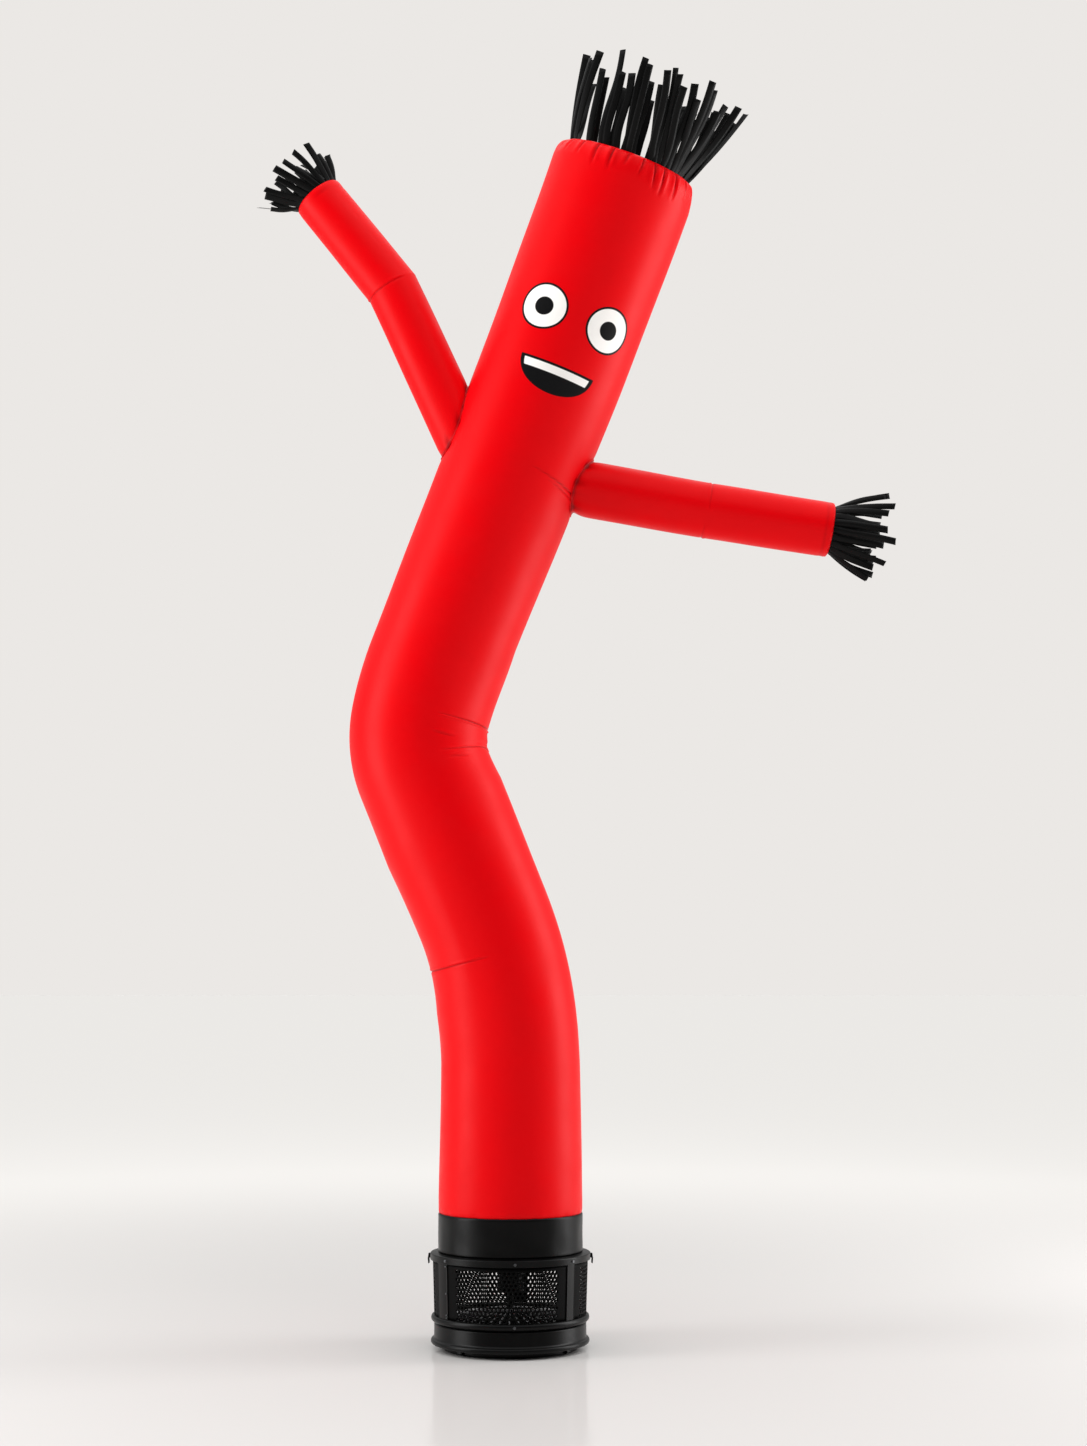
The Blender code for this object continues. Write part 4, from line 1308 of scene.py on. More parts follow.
        # The foot is drawn in to the cuff by its stitching.
        turn = np.radians(angles)
        ripple = np.sin(23 * turn) * 0.4 + np.sin(37 * turn + 1.0) * 0.35 + np.sin(9 * turn) * 0.25
        depth, height, width = self.foot_ripple
        radii -= depth * bell(along - height, width)[:, None] * ripple[None, :]
        # The long seam down the back is a narrow ridge between two dips.
        down = self.spine.length - along
        off = np.radians(angle_from(angles, 180.0)) * self.crease_radius
        height, width = self.back_seam
        depth, apart, dip_width = self.seam_dips
        seam = height * bell(off, width) - depth * bell(off - apart, dip_width)
        radii += seam[None, :] * unit(down / 0.05)[:, None]
        # Air does not fill the cloth quite evenly: slow swells under 1 mm high.
        swell = np.sin(along[:, None] * 17.0 + 2.0 * np.sin(turn)[None, :]) * np.sin(2 * turn + 0.7)[None, :]
        even = unit(along / 0.1) * unit(down / 0.1)
        return radii + self.swell * even[:, None] * swell

    def stations(self) -> Array:
        """Return the lengths of the tube's rings: far apart where it is plain, close at its creases."""
        top = self.spine.length
        zones = (
            (0.000, 0.024, 0.0036), (0.563, 0.592, 0.0016), (0.998, 1.050, 0.0018), (1.074, 1.110, 0.0034),
            (1.140, 1.162, 0.0015), (1.700, 1.910, 0.0075), (1.732, 1.774, 0.0028),
            (top - 0.072, top - 0.030, 0.0034), (top - 0.030, top - 0.008, 0.0024),
            (top - 0.008, top + 0.0001, 0.0012),
        )
        return spaced(0.0, top, self.plain_step, zones, 0.030)

    def columns(self) -> Array:
        """Return the angles of the tube's columns: close at the front and sides, and at the back seam."""
        front, back = self.steps
        zones = ((-112.0, 112.0, front), (-180.0, -172.0, 1.2), (172.0, 180.0, 1.2))
        return spaced(-180.0, 180.0, back, zones, 14.0)[:-1]

    def points(self, along: Array, angles: Array, seams: list[tuple[Arm, Array]]) -> tuple[Array, Array]:
        """Return the tube's surface, drawn in along the seams of its arms, and its shade.

        Args:
            along: lengths along the spine.
            angles: compass angles.
            seams: each arm with its seam's points.

        Returns:
            Points, (lengths, angles, 3), and the painted shade, darker in creases and pleats and along the
            arms' seams, (lengths, angles).
        """
        centre, right, back = self.spine.axes_at(along)
        radii, shade = self.radii(along, angles), self.shade(along, angles)
        surface = ring_points(centre, right, back, angles, radii)
        for arm, seam in seams:
            local = np.nonzero((along > arm.joint[0]) & (along < arm.joint[1]))[0]
            squared = squared_distances(surface[local].reshape(-1, 3), seam)
            far = np.sqrt(np.clip(squared.min(axis=1), 0.0, None))
            pucker = arm.pucker()[squared.argmin(axis=1)]
            drawn = arm.valley * (1.0 + 0.8 * pucker) * bell(far, arm.valley_width)
            # Painted shade along each arm's seam, uneven with the puckers
            painted_shade = 0.45 * (0.6 + 0.4 * pucker) * bell(far, 0.0085)
            radii[local] -= drawn.reshape(len(local), -1)
            shade[local] += painted_shade.reshape(len(local), -1)
        return ring_points(centre, right, back, angles, radii), shade

    def outside_arms(self, middles: Array, seams: list[tuple[Arm, Array]]) -> Array:
        """Tell which of the tube's faces to keep: the arms' air goes through holes inside their seams.

        Args:
            middles: the faces' middles, (n, 3).
            seams: each arm with its seam's points.

        Returns:
            Whether each face stays, (n,).
        """
        keep = np.ones(len(middles), bool)
        for arm, seam in seams:
            upper, elbow = arm.axes(arm.direction)[0], np.array(arm.elbow)
            offset = middles - elbow
            lengthwise = offset @ upper
            sideways = np.linalg.norm(offset - lengthwise[:, None] * upper, axis=1)
            level = (seam - elbow) @ upper
            beside = (lengthwise > level.min() - 0.05) & (lengthwise < level.max() + 0.05)
            keep &= ~((sideways < arm.root_radius - 0.014) & beside)
        return keep

    def build(self, arms: list[Arm], finish: Finish, ribbon: Finish) -> Object:
        """The head has two columns for each one below it; a row of five-cornered faces joins them.

        Args:
            arms: the arms, whose holes are left out of the cloth.
            finish: the cloth's finish.
            ribbon: the fringe's finish.

        Returns:
            The tube.
        """
        along = self.stations()
        split = int(np.searchsorted(along, self.spine.length - self.head_height))
        coarse, step = self.columns(), self.head_fineness
        sides, below, above = len(coarse), along[: split + 1], along[split + 1 :]
        fine = np.interp(np.arange(sides * step) / step, np.arange(sides + 1), np.append(coarse, 180.0))
        seams = [(arm, arm.seam(self.spine)[0]) for arm in arms]
        low, low_shade = self.points(below, coarse, seams)
        high, high_shade = self.points(above, fine, [])
        low_corners, low_mapped = sleeve_quads(len(low), sides)
        high_corners, high_mapped = sleeve_quads(len(high), len(fine))
        low_places = cloth_places(coarse, below, MAP_WIDTH)
        high_places = cloth_places(fine, above, MAP_WIDTH)
        flat = low.reshape(-1, 3)
        keep = self.outside_arms(flat[low_corners].mean(axis=1), seams)

        column, start = np.arange(sides), len(flat)
        around = [column * step + more for more in range(step, -1, -1)]
        lower = [split * sides + column, split * sides + (column + 1) % sides]
        join = np.stack([*lower, *[place % len(fine) + start for place in around]], axis=1)
        low_top = low_places.reshape(split + 1, sides + 1, 2)[-1]
        high_foot = high_places.reshape(len(high), len(fine) + 1, 2)[0]
        join_places = [low_top[column], low_top[column + 1], *[high_foot[place] for place in around]]
        tube = make_piece(
            "tube_cloth",
            np.concatenate([flat, high.reshape(-1, 3)]),
            [low_corners[keep], join, high_corners + start],
            finish,
            "body_tube",
            [low_places[low_mapped[keep]], np.stack(join_places, axis=1), high_places[high_mapped]],
            np.concatenate([low_shade.ravel(), high_shade.ravel()]),
        )
        thicken(tube, CLOTH)
        centre, right, back = (axis[0] for axis in self.spine.axes_at(np.array([self.spine.length])))
        ribbons = HEAD_FRINGE.build(centre, (np.cross(right, back), right, back), ribbon)
        return tube


HEAD_FRINGE = Fringe(
    "head_ribbons",
    "head_fringe",
    (
        (143, 8), (192, 4), (207, 13), (170, 7), (221, 16), (173, 23), (178, 18), (216, 19),
        (204, 21), (170, 17), (171, 21), (199, 13), (209, 9), (198, 7), (177, 5), (193, 7),
        (165, 6), (214, 0), (202, 5), (168, -3), (166, -3), (190, 6), (205, 7), (207, 7),
    ),
    0.1448, 0.012, 0.0162, 5.0, 11, 6,
    roots=(
        (-1.14, -1.0), (-1.01, -0.96), (-0.87, -0.68), (-0.68, -0.48), (-0.43, -0.32), (-0.30, -0.12),
        (0.02, 0.10), (0.18, 0.38), (0.53, 0.60), (0.78, 0.76), (1.13, 0.87), (1.49, 1.0),
    ),
)
ARMS = [
    Arm(
        "left", (-0.2788, -0.0290, 2.4189), (-0.4578, -0.0290, 2.6433), -24.6, 0.440, 0.0632, 0.0620, 0.0600,
        (1.62, 2.06),
        Fringe(
            "hand_ribbons_left", "hand_fringe_left",
            (
                (70, -53), (86, -32), (93, -30), (83, -20), (101, -22), (98, -21), (102, -9), (102, 0),
                (70, -6), (66, 16),
            ),
            0.0543, 0.010, 0.0145, 6.0, 21, 10,
        ),
        creases=(
            Crease((0.001, -97.0), (-0.004, 34.0), 0.0018, 0.0020, 0.0010, 1, painted_shade=0.7),
            Crease((0.001, -93.0), (0.004, -170.0), 0.0016, 0.0020, 0.0008, 1),
        ),
    ),
    Arm(
        "right", (0.4532, -0.0190, 1.8909), (0.7394, -0.0190, 1.8450), 100.4, 0.380, 0.0658, 0.0643, 0.0632,
        (1.56, 2.02),
        Fringe(
            "hand_ribbons_right", "hand_fringe_right",
            (
                (120, -16), (136, 0), (121, 8), (103, 8), (122, 4), (146, 4), (118, 0), (132, 7),
                (109, 3), (110, 21),
            ),
            0.0543, 0.010, 0.0145, 6.0, 31, 10,
        ),
        creases=(
            Crease((0.001, -97.0), (0.002, 12.0), 0.0015, 0.0019, 0.0009, -1, painted_shade=0.45),
            Crease((0.001, -93.0), (0.000, -170.0), 0.0013, 0.0019, 0.0008, -1),
            Crease((-0.004, 97.0), (-0.002, 40.0), 0.0012, 0.0022, 0.0008, 1, painted_shade=0.3),
            Crease((-0.004, 93.0), (-0.006, 150.0), 0.0012, 0.0022, 0.0008, 1),
        ),
        pinch=0.0050,
        pinch_side=90.0,
    ),
]


# ---------------------------------------------------------------- blower


@dataclass(frozen=True)
class Cuff:
    """The cuff: a short sleeve of black cloth over the blower's outlet."""

    radius: float = 0.1615
    foot: float = 0.2118
    top: float = 0.2955
    tuck_radius: float = 0.1574
    tuck_top: float = 0.3060
    wave: float = 0.0007
    sides: int = 192

    def build(self, finish: Finish) -> Object:
        """Build the cuff.

        The profile rises straight and then tucks in under the tube's foot. The wall sinks by slow
        waves round it that are strongest near its foot, where it is strapped down.

        Args:
            finish: the cloth's finish.

        Returns:
            The cuff.
        """
        rise = np.linspace(self.foot + 0.006, self.top - 0.003, 22)
        profile = [(self.radius - 0.0006, self.foot), (self.radius, self.foot + 0.003)]
        profile += [(self.radius, height) for height in rise]
        profile += [(self.radius - 0.0006, self.top - 0.0010), (self.radius - 0.0022, self.top + 0.0004)]
        profile += [(self.tuck_radius, self.top + 0.0012), (self.tuck_radius - 0.0002, self.tuck_top)]
        radius, height = np.array(profile).T
        angles = compass_angles(self.sides)
        turn = np.radians(angles)
        level = unit((height - self.foot) / (self.top - self.foot))
        waves = np.sin(13 * turn + 0.8)[None, :] * 0.4 + np.sin(21 * turn + 2.0)[None, :] * 0.3
        waves = waves + np.sin(5 * turn[None, :] + 6.0 * level[:, None]) * 0.5
        strength = self.wave * np.sin(np.clip(level, 0.02, 0.98) * math.pi) ** 0.5 * (1.3 - level)
        radii = radius[:, None] + strength[:, None] * (waves - 1.0)
        corners, mapped = sleeve_quads(len(profile), self.sides)
        places = [cloth_places(angles, height, MAP_WIDTH)[mapped]]
        points = upright(radii, turn[None, :], height[:, None])
        cuff = make_piece("cuff_cloth", points, [corners], finish, "base_cuff", places)
        thicken(cuff, CLOTH)
        return cuff


@dataclass(frozen=True)
class Blower:
    """The blower: plinth, drum, guard, uprights, collar, and the intake inside the guard."""

    sides: int = 192
    plinth_radius: float = 0.1520
    plinth_top: float = 0.0122
    flange_radius: float = 0.1761
    flange_foot: float = 0.0125
    flange_top: float = 0.0250
    bead: Pair = (0.0045, 0.0058)  # the flange's roll: reach out and half height
    drum_radius: float = 0.1690
    drum_top: float = 0.0600
    rim_radius: float = 0.1759
    rim_top: float = 0.0755
    rim_width: float = 0.010
    guard_foot_radius: float = 0.1690
    guard_head_radius: float = 0.1728
    guard_sheet: float = 0.0012
    ring_radius: float = 0.1785
    ring_foot: float = 0.1950
    ring_edge: float = 0.2095
    ring_top: float = 0.2115
    cuff_radius: float = 0.1615
    duct_radius: float = 0.1592
    duct_wall: float = 0.0020
    duct_top: float = 0.2800
    cone_radius: float = 0.1500
    cone_top_radius: float = 0.0120
    cone_edge: float = 0.004
    cone_height: float = 0.0245
    cone_ribs: int = 36
    rib_height: float = 0.0030
    wire_radius: float = 0.0016
    shaft_radius: float = 0.0070
    motor_radius: float = 0.0300
    motor_foot: float = 0.1226
    motor_top: float = 0.1860
    motor_grooves: int = 7
    groove_pitch: float = 0.0070
    groove_depth: float = 0.004
    hole_radius: float = 0.003175
    hole_pitch: float = 0.0095
    post_thickness: float = 0.0026
    post_sink: float = 0.0009  # of a post's middle between its two folded edges
    post_steps: int = 14
    # name, compass angle, width in degrees, plain margin of the guard beside it in degrees
    posts: tuple[tuple[str, float, float, float], ...] = (
        ("left", 301.4, 14.0, 8.4), ("right", 50.5, 8.6, 8.4), ("back", 176.0, 14.0, 1.5),
    )
    rivets: tuple[Pair, ...] = ((306.4, 0.1890), (306.6, 0.1310), (306.4, 0.0850), (306.4, 0.0790))
    rivet_radius: float = 0.0022
    rivet_height: float = 0.00132
    gap: float = 0.0003

    def guard_radius(self, height: Array | float) -> Array | float:
        """Return the guard's outer radius at a height: it opens a little towards the top."""
        rise = (height - self.rim_top) / (self.ring_foot - self.rim_top)
        return self.guard_foot_radius + (self.guard_head_radius - self.guard_foot_radius) * rise

    def build_shell(self, finish: Finish) -> None:
        """Build the plinth, the drum with its rolled flange, the rim and the collar with its duct."""
        plinth, flange, drum, rim, ring = (
            self.plinth_radius, self.flange_radius, self.drum_radius, self.rim_radius, self.ring_radius
        )
        out, half = self.bead
        middle = (self.flange_foot + self.flange_top) / 2
        roll = [
            (flange - out + out * math.cos(at), middle + half * math.sin(at))
            for at in np.linspace(-math.pi / 2, math.pi / 2, 9)
        ]
        foot, inner, bore = self.drum_top + self.gap, self.guard_foot_radius - self.rim_width, self.duct_radius
        profiles = {
            ("plinth_disc", "base_plinth"): [
                (0.0, 0.0), (plinth - 0.005, 0.0), (plinth - 0.001, 0.003), (plinth, 0.007),
                (plinth, self.plinth_top), (0.0, self.plinth_top),
            ],
            ("drum_shell", "base_drum"): [
                (0.0, self.flange_foot), (flange - 0.009, self.flange_foot), *roll,
                (drum + 0.0016, self.flange_top + 0.0006), (drum, self.flange_top + 0.0030),
                (drum, self.drum_top - 0.0042), (drum - 0.0015, self.drum_top - 0.0020),
                (drum - 0.0035, self.drum_top), (0.0, self.drum_top),
            ],
            ("guard_rim_rolled", "guard_rim"): [
                (inner, foot), (drum - 0.002, foot), (rim - 0.0040, foot + 0.0016),
                (rim - 0.0012, foot + 0.0042), (rim, foot + 0.008), (rim - 0.0004, self.rim_top - 0.0042),
                (rim - 0.0018, self.rim_top - 0.0014), (rim - 0.0040, self.rim_top), (inner, self.rim_top),
            ],
            ("outlet_collar", "outlet_ring"): [
                (bore - self.duct_wall, self.ring_foot), (ring, self.ring_foot),
                (ring, self.ring_edge - 0.0016), (ring - 0.0010, self.ring_edge - 0.0003),
                (ring - 0.0030, self.ring_edge + 0.0003), (self.cuff_radius, self.ring_top),
                (bore, self.ring_top), (bore, self.duct_top), (bore - self.duct_wall, self.duct_top),
            ],
        }
        for (name, node), profile in profiles.items():
            points, polygons = turned_mesh(profile, self.sides)
            round_edges(make_piece(name, points, polygons, finish, node), 0.0006)

    def build_guard(self, finish: Finish) -> None:
        """Build the perforated guard.

        The sheet is a brick pattern of six-sided cells. A cell's middle lies at (column + half a step
        on every other row) pitches round and row pitches up; its hole is twelve points on a circle,
        and each side of the cell joins three of them. The top row and the cells beside an upright
        have no hole.
        """
        low, high = self.rim_top + self.gap, self.ring_foot - self.gap
        around = 2 * math.pi * self.guard_foot_radius
        columns = int(round(around / self.hole_pitch / 2)) * 2
        rows = int((high - low) / (self.hole_pitch * math.sqrt(3) / 2))
        pitch, row_pitch = around / columns, (high - low) / rows
        column, row = (array.ravel() for array in np.meshgrid(np.arange(columns), np.arange(rows)))
        middle_x, middle_y = (column + 0.5 * (row % 2)) * pitch, (row + 0.5) * row_pitch
        corner_x = np.array([-0.5, 0.0, 0.5, 0.5, 0.0, -0.5]) * pitch
        corner_y = np.array([-0.5, -0.5, -0.5, 0.5, 0.5, 0.5]) * row_pitch
        turn = np.radians(np.arange(12) * 30.0 - 135.0)
        hole_x, hole_y = self.hole_radius * np.cos(turn), self.hole_radius * np.sin(turn)
        x = middle_x[:, None] + np.concatenate([corner_x, hole_x])[None, :]
        height = low + middle_y[:, None] + np.concatenate([corner_y, hole_y])[None, :]
        points = upright(self.guard_radius(height), x / self.guard_foot_radius, height).reshape(-1, 3)
        plain = row == rows - 1
        middle_angle = np.degrees(middle_x / self.guard_foot_radius)
        for _, post, span, margin in self.posts:
            plain |= angle_from(middle_angle, post) < span / 2 + margin
        cell = np.arange(len(column))[:, None] * (6 + 12)
        pierced, solid = cell[~plain], cell[plain]
        pentagons = []
        for side in range(6):
            ring = [(side * 2 + more) % 12 + 6 for more in (2, 1, 0)]
            pentagons.append(pierced + np.array([[side, (side + 1) % 6, *ring]]))
        # Neighbouring cells share their corners, and the points of missing holes go.
        _, places, same = np.unique(np.round(points, 6), axis=0, return_index=True, return_inverse=True)
        used = [same.reshape(-1)[corners] for corners in (np.concatenate(pentagons), solid + np.arange(6))]
        wanted, packed = np.unique(np.concatenate([corners.ravel() for corners in used]), return_inverse=True)
        split = used[0].size
        used = [packed[:split].reshape(-1, 5), packed[split:].reshape(-1, 6)]
        kept = np.round(points[places[wanted]], 6)
        guard = make_piece("perforated_guard", kept, used, finish, "intake_guard")
        guard.data.set_sharp_from_angle(angle=SHARP)
        thicken(guard, self.guard_sheet)
        LOG.info("holes through the guard: %d", len(pierced))

    def build_posts(self, finish: Finish) -> None:
        """Build the uprights: plates bent round the guard, with a folded edge down each side."""
        columns = self.post_steps + 1
        inner_low, outer_low, inner_high, outer_high = (index * columns for index in range(4))
        loop = [outer_low, outer_high, inner_high, inner_low]
        at = np.arange(self.post_steps)[:, None]
        edges = zip(loop, loop[1:] + loop[:1])
        sides = [at + np.array([[low, low + 1, high + 1, high]]) for low, high in edges]
        ends = [np.roll([loop], 1), np.roll([loop[::-1]], 1) + self.post_steps]
        quads = [np.concatenate(sides + ends)]
        share = np.linspace(-0.5, 0.5, columns)
        sink = np.where(np.abs(share) > 0.44, 0.0, self.post_sink)
        for name, middle, span, _ in self.posts:
            turn, rings = np.radians(middle + span * share), []
            for height in (self.rim_top + self.gap, self.ring_foot - self.gap):
                radius = self.guard_radius(height)
                rings.append(upright(radius + self.gap * 2, turn, height))
                rings.append(upright(radius + self.post_thickness - sink, turn, height))
            points = np.concatenate(rings)
            post = make_piece(f"guard_upright_{name}", points, quads, finish, f"guard_post_{name}")
            round_edges(post, 0.0004)

    def build_rivets(self, finish: Finish) -> None:
        """Set small domed rivets in the left upright.

        A dome's profile is (radius cos(rise), height sin(rise)) over a quarter turn of rise, turned
        round an axis that points out from the guard, with a flat back.
        """
        size, height = self.rivet_radius, self.rivet_height
        rise = np.linspace(0.0, math.pi / 2 - 0.2, 4)
        outline = [(0.0, 0.0), *[(size * math.cos(at), height * math.sin(at) + 0.0001) for at in rise]]
        dome, polygons = turned_mesh([*outline, (0.0, height + 0.0001)], 14)
        angle, level = np.array(self.rivets).T
        turn = np.radians(angle)
        out, beside = upright(1.0, turn, 0.0), upright(1.0, turn + math.pi / 2, 0.0)
        up = np.array([0.0, 0.0, 1.0])
        reach = self.guard_radius(level) + self.post_thickness - 0.0007
        points = upright(reach, turn, level)[:, None] + dome[None, :, :1] * beside[:, None]
        points = points - dome[None, :, 1:2] * up + dome[None, :, 2:] * out[:, None]
        faces = [repeated(array[:, ::-1], len(angle), len(dome)) for array in polygons]
        make_piece("upright_rivets", points, faces, finish)

    def build_cone(self, finish: Finish, wire: Finish) -> None:
        """Build the ribbed intake cone and its wires.

        The cone's height at a radius is a straight slope, raised by each rib: a smooth hump two
        fifths of the rib pitch wide.
        """
        sides, foot = self.cone_ribs * 8, self.drum_top + self.gap
        share = np.linspace(0.0, 1.0, 16)
        radius = self.cone_radius + (self.cone_top_radius - self.cone_radius) * share
        height = foot + self.cone_edge + (self.cone_height - self.cone_edge) * share
        rib = self.rib_height * np.sin(np.clip(share, 0.02, 0.98) * math.pi) ** 0.4
        turn = np.radians(compass_angles(sides))
        hump = unit(np.cos(turn * self.cone_ribs) - 0.3) / 0.7
        levels = np.append(foot, height)[:, None] + np.append(0.0, rib)[:, None] * hump[None, :]
        walls = upright(np.append(self.cone_radius, radius)[:, None], turn[None, :], levels)
        corners, _ = sleeve_quads(len(walls), sides)
        at, base = np.arange(sides), len(walls) * sides
        after, top = (at + 1) % sides, base - sides
        under = np.stack([after, at, np.full(sides, base)], axis=1)
        over = np.stack([top + at, top + after, np.full(sides, base + 1)], axis=1)
        poles = [[0.0, 0.0, foot], [0.0, 0.0, foot + self.cone_height]]
        points = np.concatenate([walls.reshape(-1, 3), poles])
        polygons = [corners, np.concatenate([under, over])]
        cone = make_piece("ribbed_intake_cone", points, polygons, finish, "intake_cone")
        cone.data.set_sharp_from_angle(angle=math.radians(50.0))
        self.build_wires(radius[1:-1], (height + rib)[1:-1], wire)

    def build_wires(self, radius: Array, height: Array, finish: Finish) -> None:
        """Lay a wire up the crest of each rib of the intake cone.

        A wire's section is a hexagon, carried along the cone's slope: its middle is the crest's
        (radius, height), and the hexagon turns round that line.

        Args:
            radius: the crest's radius at each place up the slope.
            height: the crest's height at each place.
            finish: the wires' finish.
        """
        turn = np.radians(compass_angles(self.cone_ribs))[:, None, None]
        around = np.radians(compass_angles(6))[None, None, :]
        slope = math.atan2(self.cone_height, self.cone_radius - self.cone_top_radius)
        off = self.wire_radius * np.cos(around)
        outward = radius[None, :, None] + off * math.sin(slope)
        level = (height + self.wire_radius * 0.6)[None, :, None] + off * math.cos(slope)
        beside = self.wire_radius * np.sin(around)
        points = upright(outward, turn, level) + upright(beside, turn + math.pi / 2, 0.0)
        rows = len(radius)
        ends = np.stack([np.arange(6)[::-1], np.arange(6) + (rows - 1) * 6])
        faces = [repeated(array, self.cone_ribs, rows * 6) for array in (sleeve_quads(rows, 6)[0], ends)]
        make_piece("intake_wires", points, faces, finish)

    def build_motor(self, finish: Finish) -> None:
        """Build the motor: a turned drum with grooves round it, on a shaft down to the cone."""
        base, low, top = self.drum_top + self.gap + self.cone_height, self.motor_foot, self.motor_top
        ring, deep = self.motor_radius, self.motor_radius - self.groove_depth
        profile = [(0.0, base), (self.shaft_radius, base), (self.shaft_radius, low - 0.002)]
        profile += [(ring - 0.006, low), (ring, low + 0.002)]
        for index in range(self.motor_grooves):
            level = low + 0.006 + index * self.groove_pitch
            profile += [(ring, level), (deep, level + 0.0010), (deep, level + 0.0035), (ring, level + 0.0045)]
        profile += [(ring, top - 0.005), (ring - 0.006, top), (0.0, top)]
        points, polygons = turned_mesh(profile, 96)
        motor = make_piece("finned_motor", points, polygons, finish, "motor")
        motor.data.set_sharp_from_angle(angle=SHARP)

    def build_small(self, metal: Finish, screw: Finish) -> None:
        """Dress the screws, hooks and clips, which stay as they are."""
        for name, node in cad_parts.items():
            if name.startswith(("screw_", "hook_", "clip_")):
                node.data.materials.clear()
                node.data.materials.append((screw if name.startswith("screw_") else metal).material)
        LOG.info("small fittings dressed")

    def build(self, finishes: Finishes) -> None:
        """Build every piece of the blower."""
        self.build_shell(finishes.metal)
        self.build_guard(finishes.guard)
        self.build_posts(finishes.metal)
        self.build_rivets(finishes.screw)
        self.build_cone(finishes.plastic, finishes.wire)
        self.build_motor(finishes.plastic)
        self.build_small(finishes.metal, finishes.screw)


# ---------------------------------------------------------------- studio


@dataclass(frozen=True)
class SoftBox:
    """An area lamp: name, middle, the point that it faces, size, and power in watts."""

    name: str
    place: Point
    target: Point
    size: Pair
    power: float
    mirrored: bool = True  # whether glossy surfaces mirror it

    def build(self) -> None:
        """Hang the lamp, turned level and then up or down to its target."""
        light = bpy.data.lights.new(self.name, "AREA")
        light.shape = "RECTANGLE"
        light.size, light.size_y = self.size
        light.energy = self.power
        holder = bpy.data.objects.new(self.name, light)
        holder.location = self.place
        holder.visible_glossy = self.mirrored
        x, y, z = np.array(self.target) - np.array(self.place)
        holder.rotation_euler = (math.radians(90.0) + math.atan2(z, math.hypot(x, y)), 0.0, math.atan2(-x, y))
        bpy.context.scene.collection.objects.link(holder)


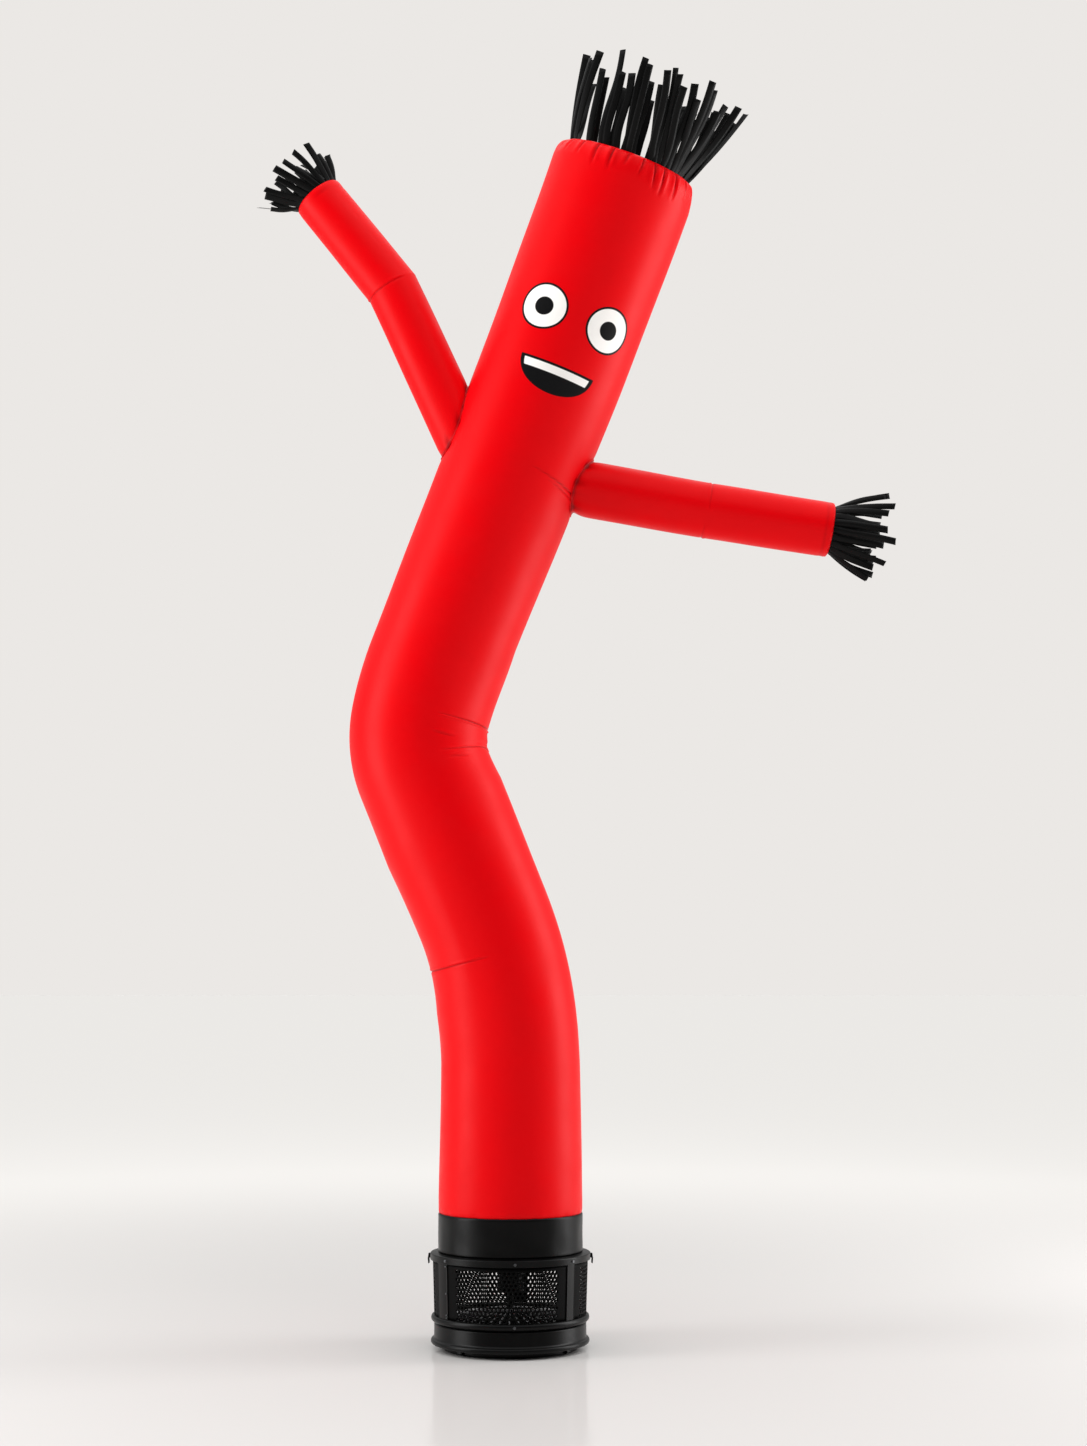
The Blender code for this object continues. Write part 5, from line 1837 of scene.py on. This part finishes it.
@dataclass(frozen=True)
class Studio:
    """A plain pale floor, soft lights on both sides and the camera."""

    camera_place: Point = (0.0738, -4.95, 0.79)
    camera_rise: float = 7.0
    lens: float = 54.02
    floor_radius: float = 300.0
    floor_colour: str = "c8c6c4"
    # painted light: the paler colour far off, which makes up for the lamps' light falling off
    far_floor_painted_light: str = "e4e2df"
    polish: float = 0.75
    backdrop: str = "ebe8e5"
    dark_front: str = "161616"
    bright_back: str = "b4b3b2"
    ceiling: float = 1.38
    boxes: tuple[SoftBox, ...] = (
        SoftBox("soft_box_left", (-3.1, -0.85, 1.7), (0.0, 0.0, 1.5), (1.4, 3.4), 92.0),
        SoftBox("soft_box_right", (3.2, 0.45, 1.7), (0.1, 0.0, 1.5), (1.5, 3.4), 97.0),
        SoftBox("front_top_box", (0.6, -2.6, 4.6), (0.1, 0.0, 2.3), (1.5, 1.0), 22.0, False),
        SoftBox("top_box", (0.2, -0.7, 5.0), (0.2, 0.0, 1.5), (3.2, 1.2), 34.0, False),
    )

    def build_camera(self) -> None:
        """Place the camera, level but for its rise, with no shift."""
        camera = bpy.data.cameras.new("camera")
        camera.lens = self.lens
        camera.sensor_width = 36.0
        holder = bpy.data.objects.new("camera", camera)
        holder.location = self.camera_place
        holder.rotation_euler = (math.radians(90.0 + self.camera_rise), 0.0, 0.0)
        bpy.context.scene.collection.objects.link(holder)
        bpy.context.scene.camera = holder

    def build_floor(self) -> None:
        """Lay the floor: a sealed pale sheet, glossy near the blower and dull far off. Its colour is painted
        darker near the blower and paler far off: painted shade and painted light that even out how the lamps'
        light falls on it.
        """
        points, polygons = turned_mesh([(0.0, 0.0), (self.floor_radius, 0.0)], 96, closed=False)
        mesh = bpy.data.meshes.new("studio_floor")
        mesh.from_pydata(points.tolist(), [], polygons[0][:, ::-1].tolist())
        material, tree, shader = new_material("painted_studio_floor")
        place = add_node(tree, "TexCoord", out="Object")
        distance = add_node(tree, "VectorMath", (place,), "Value", operation="LENGTH")
        far = add_node(tree, "MapRange", (distance, 0.6, 5.0, 0.0, 1.0), interpolation_type="SMOOTHSTEP")
        # Painted light and shade: from the darker near colour to the paler far one with distance
        colours = {0: far, 6: linear(self.floor_colour), 7: linear(self.far_floor_painted_light)}
        paint = add_node(tree, "Mix", colours, 2, data_type="RGBA")
        gloss = add_node(tree, "Math", (far, -self.polish, self.polish), operation="MULTIPLY_ADD")
        coat = {"Coat Weight": gloss, "Coat Roughness": 0.13}
        set_inputs(shader, {"Base Color": paint, "Roughness": 0.60, "Specular IOR Level": 0.0, **coat})
        mesh.materials.append(material)
        floor = bpy.data.objects.new("studio_floor", mesh)
        bpy.context.scene.collection.objects.link(floor)

    def build_world(self) -> None:
        """Fill the room: dim in front, bright at the back and overhead, and plain where it is seen."""
        world = bpy.data.worlds.new("studio")
        world.use_nodes = True
        tree = world.node_tree
        direction = add_node(tree, "TexCoord", out="Generated")
        level = add_node(tree, "SeparateXYZ", (direction,), "Y")
        high = add_node(tree, "SeparateXYZ", (direction,), "Z")
        behind = add_node(tree, "MapRange", (level, -0.9, 0.3, 0.0, 1.0), interpolation_type="SMOOTHSTEP")
        above = add_node(tree, "MapRange", (high, 0.40, 0.65, 0.0, 1.0), interpolation_type="SMOOTHSTEP")
        colours = {0: behind, 6: linear(self.dark_front), 7: linear(self.bright_back)}
        room = add_node(tree, "Mix", colours, 2, data_type="RGBA")
        overhead = {0: above, 6: room, 7: (self.ceiling, self.ceiling, self.ceiling, 1.0)}
        lit = add_node(tree, "Background", (add_node(tree, "Mix", overhead, 2, data_type="RGBA"), 1.0))
        seen = add_node(tree, "Background", (linear(self.backdrop), 1.0))
        ray = add_node(tree, "LightPath", out="Is Camera Ray")
        set_inputs(tree.nodes["World Output"], (add_node(tree, "MixShader", (ray, lit, seen)),))
        bpy.context.scene.world = world

    def build(self) -> None:
        """Build the studio."""
        self.build_camera()
        self.build_floor()
        self.build_world()
        for box in self.boxes:
            box.build()
        bpy.context.scene.view_settings.view_transform = "Standard"
        LOG.info("studio: camera, floor, room and %d soft boxes", len(self.boxes))


def main() -> None:
    """Build the air dancer and its studio, from the floor up."""
    logging.basicConfig(level=logging.INFO, format="%(name)s: %(message)s")
    finishes = Finishes()
    spine = Spine()
    Studio().build()
    Blower().build(finishes)
    Cuff().build(finishes.black)
    Tube(spine).build(ARMS, finishes.red, finishes.ribbon)
    for arm in ARMS:
        arm.build(spine, finishes.red_arm, finishes.ribbon)


if __name__ == "__main__":
    main()
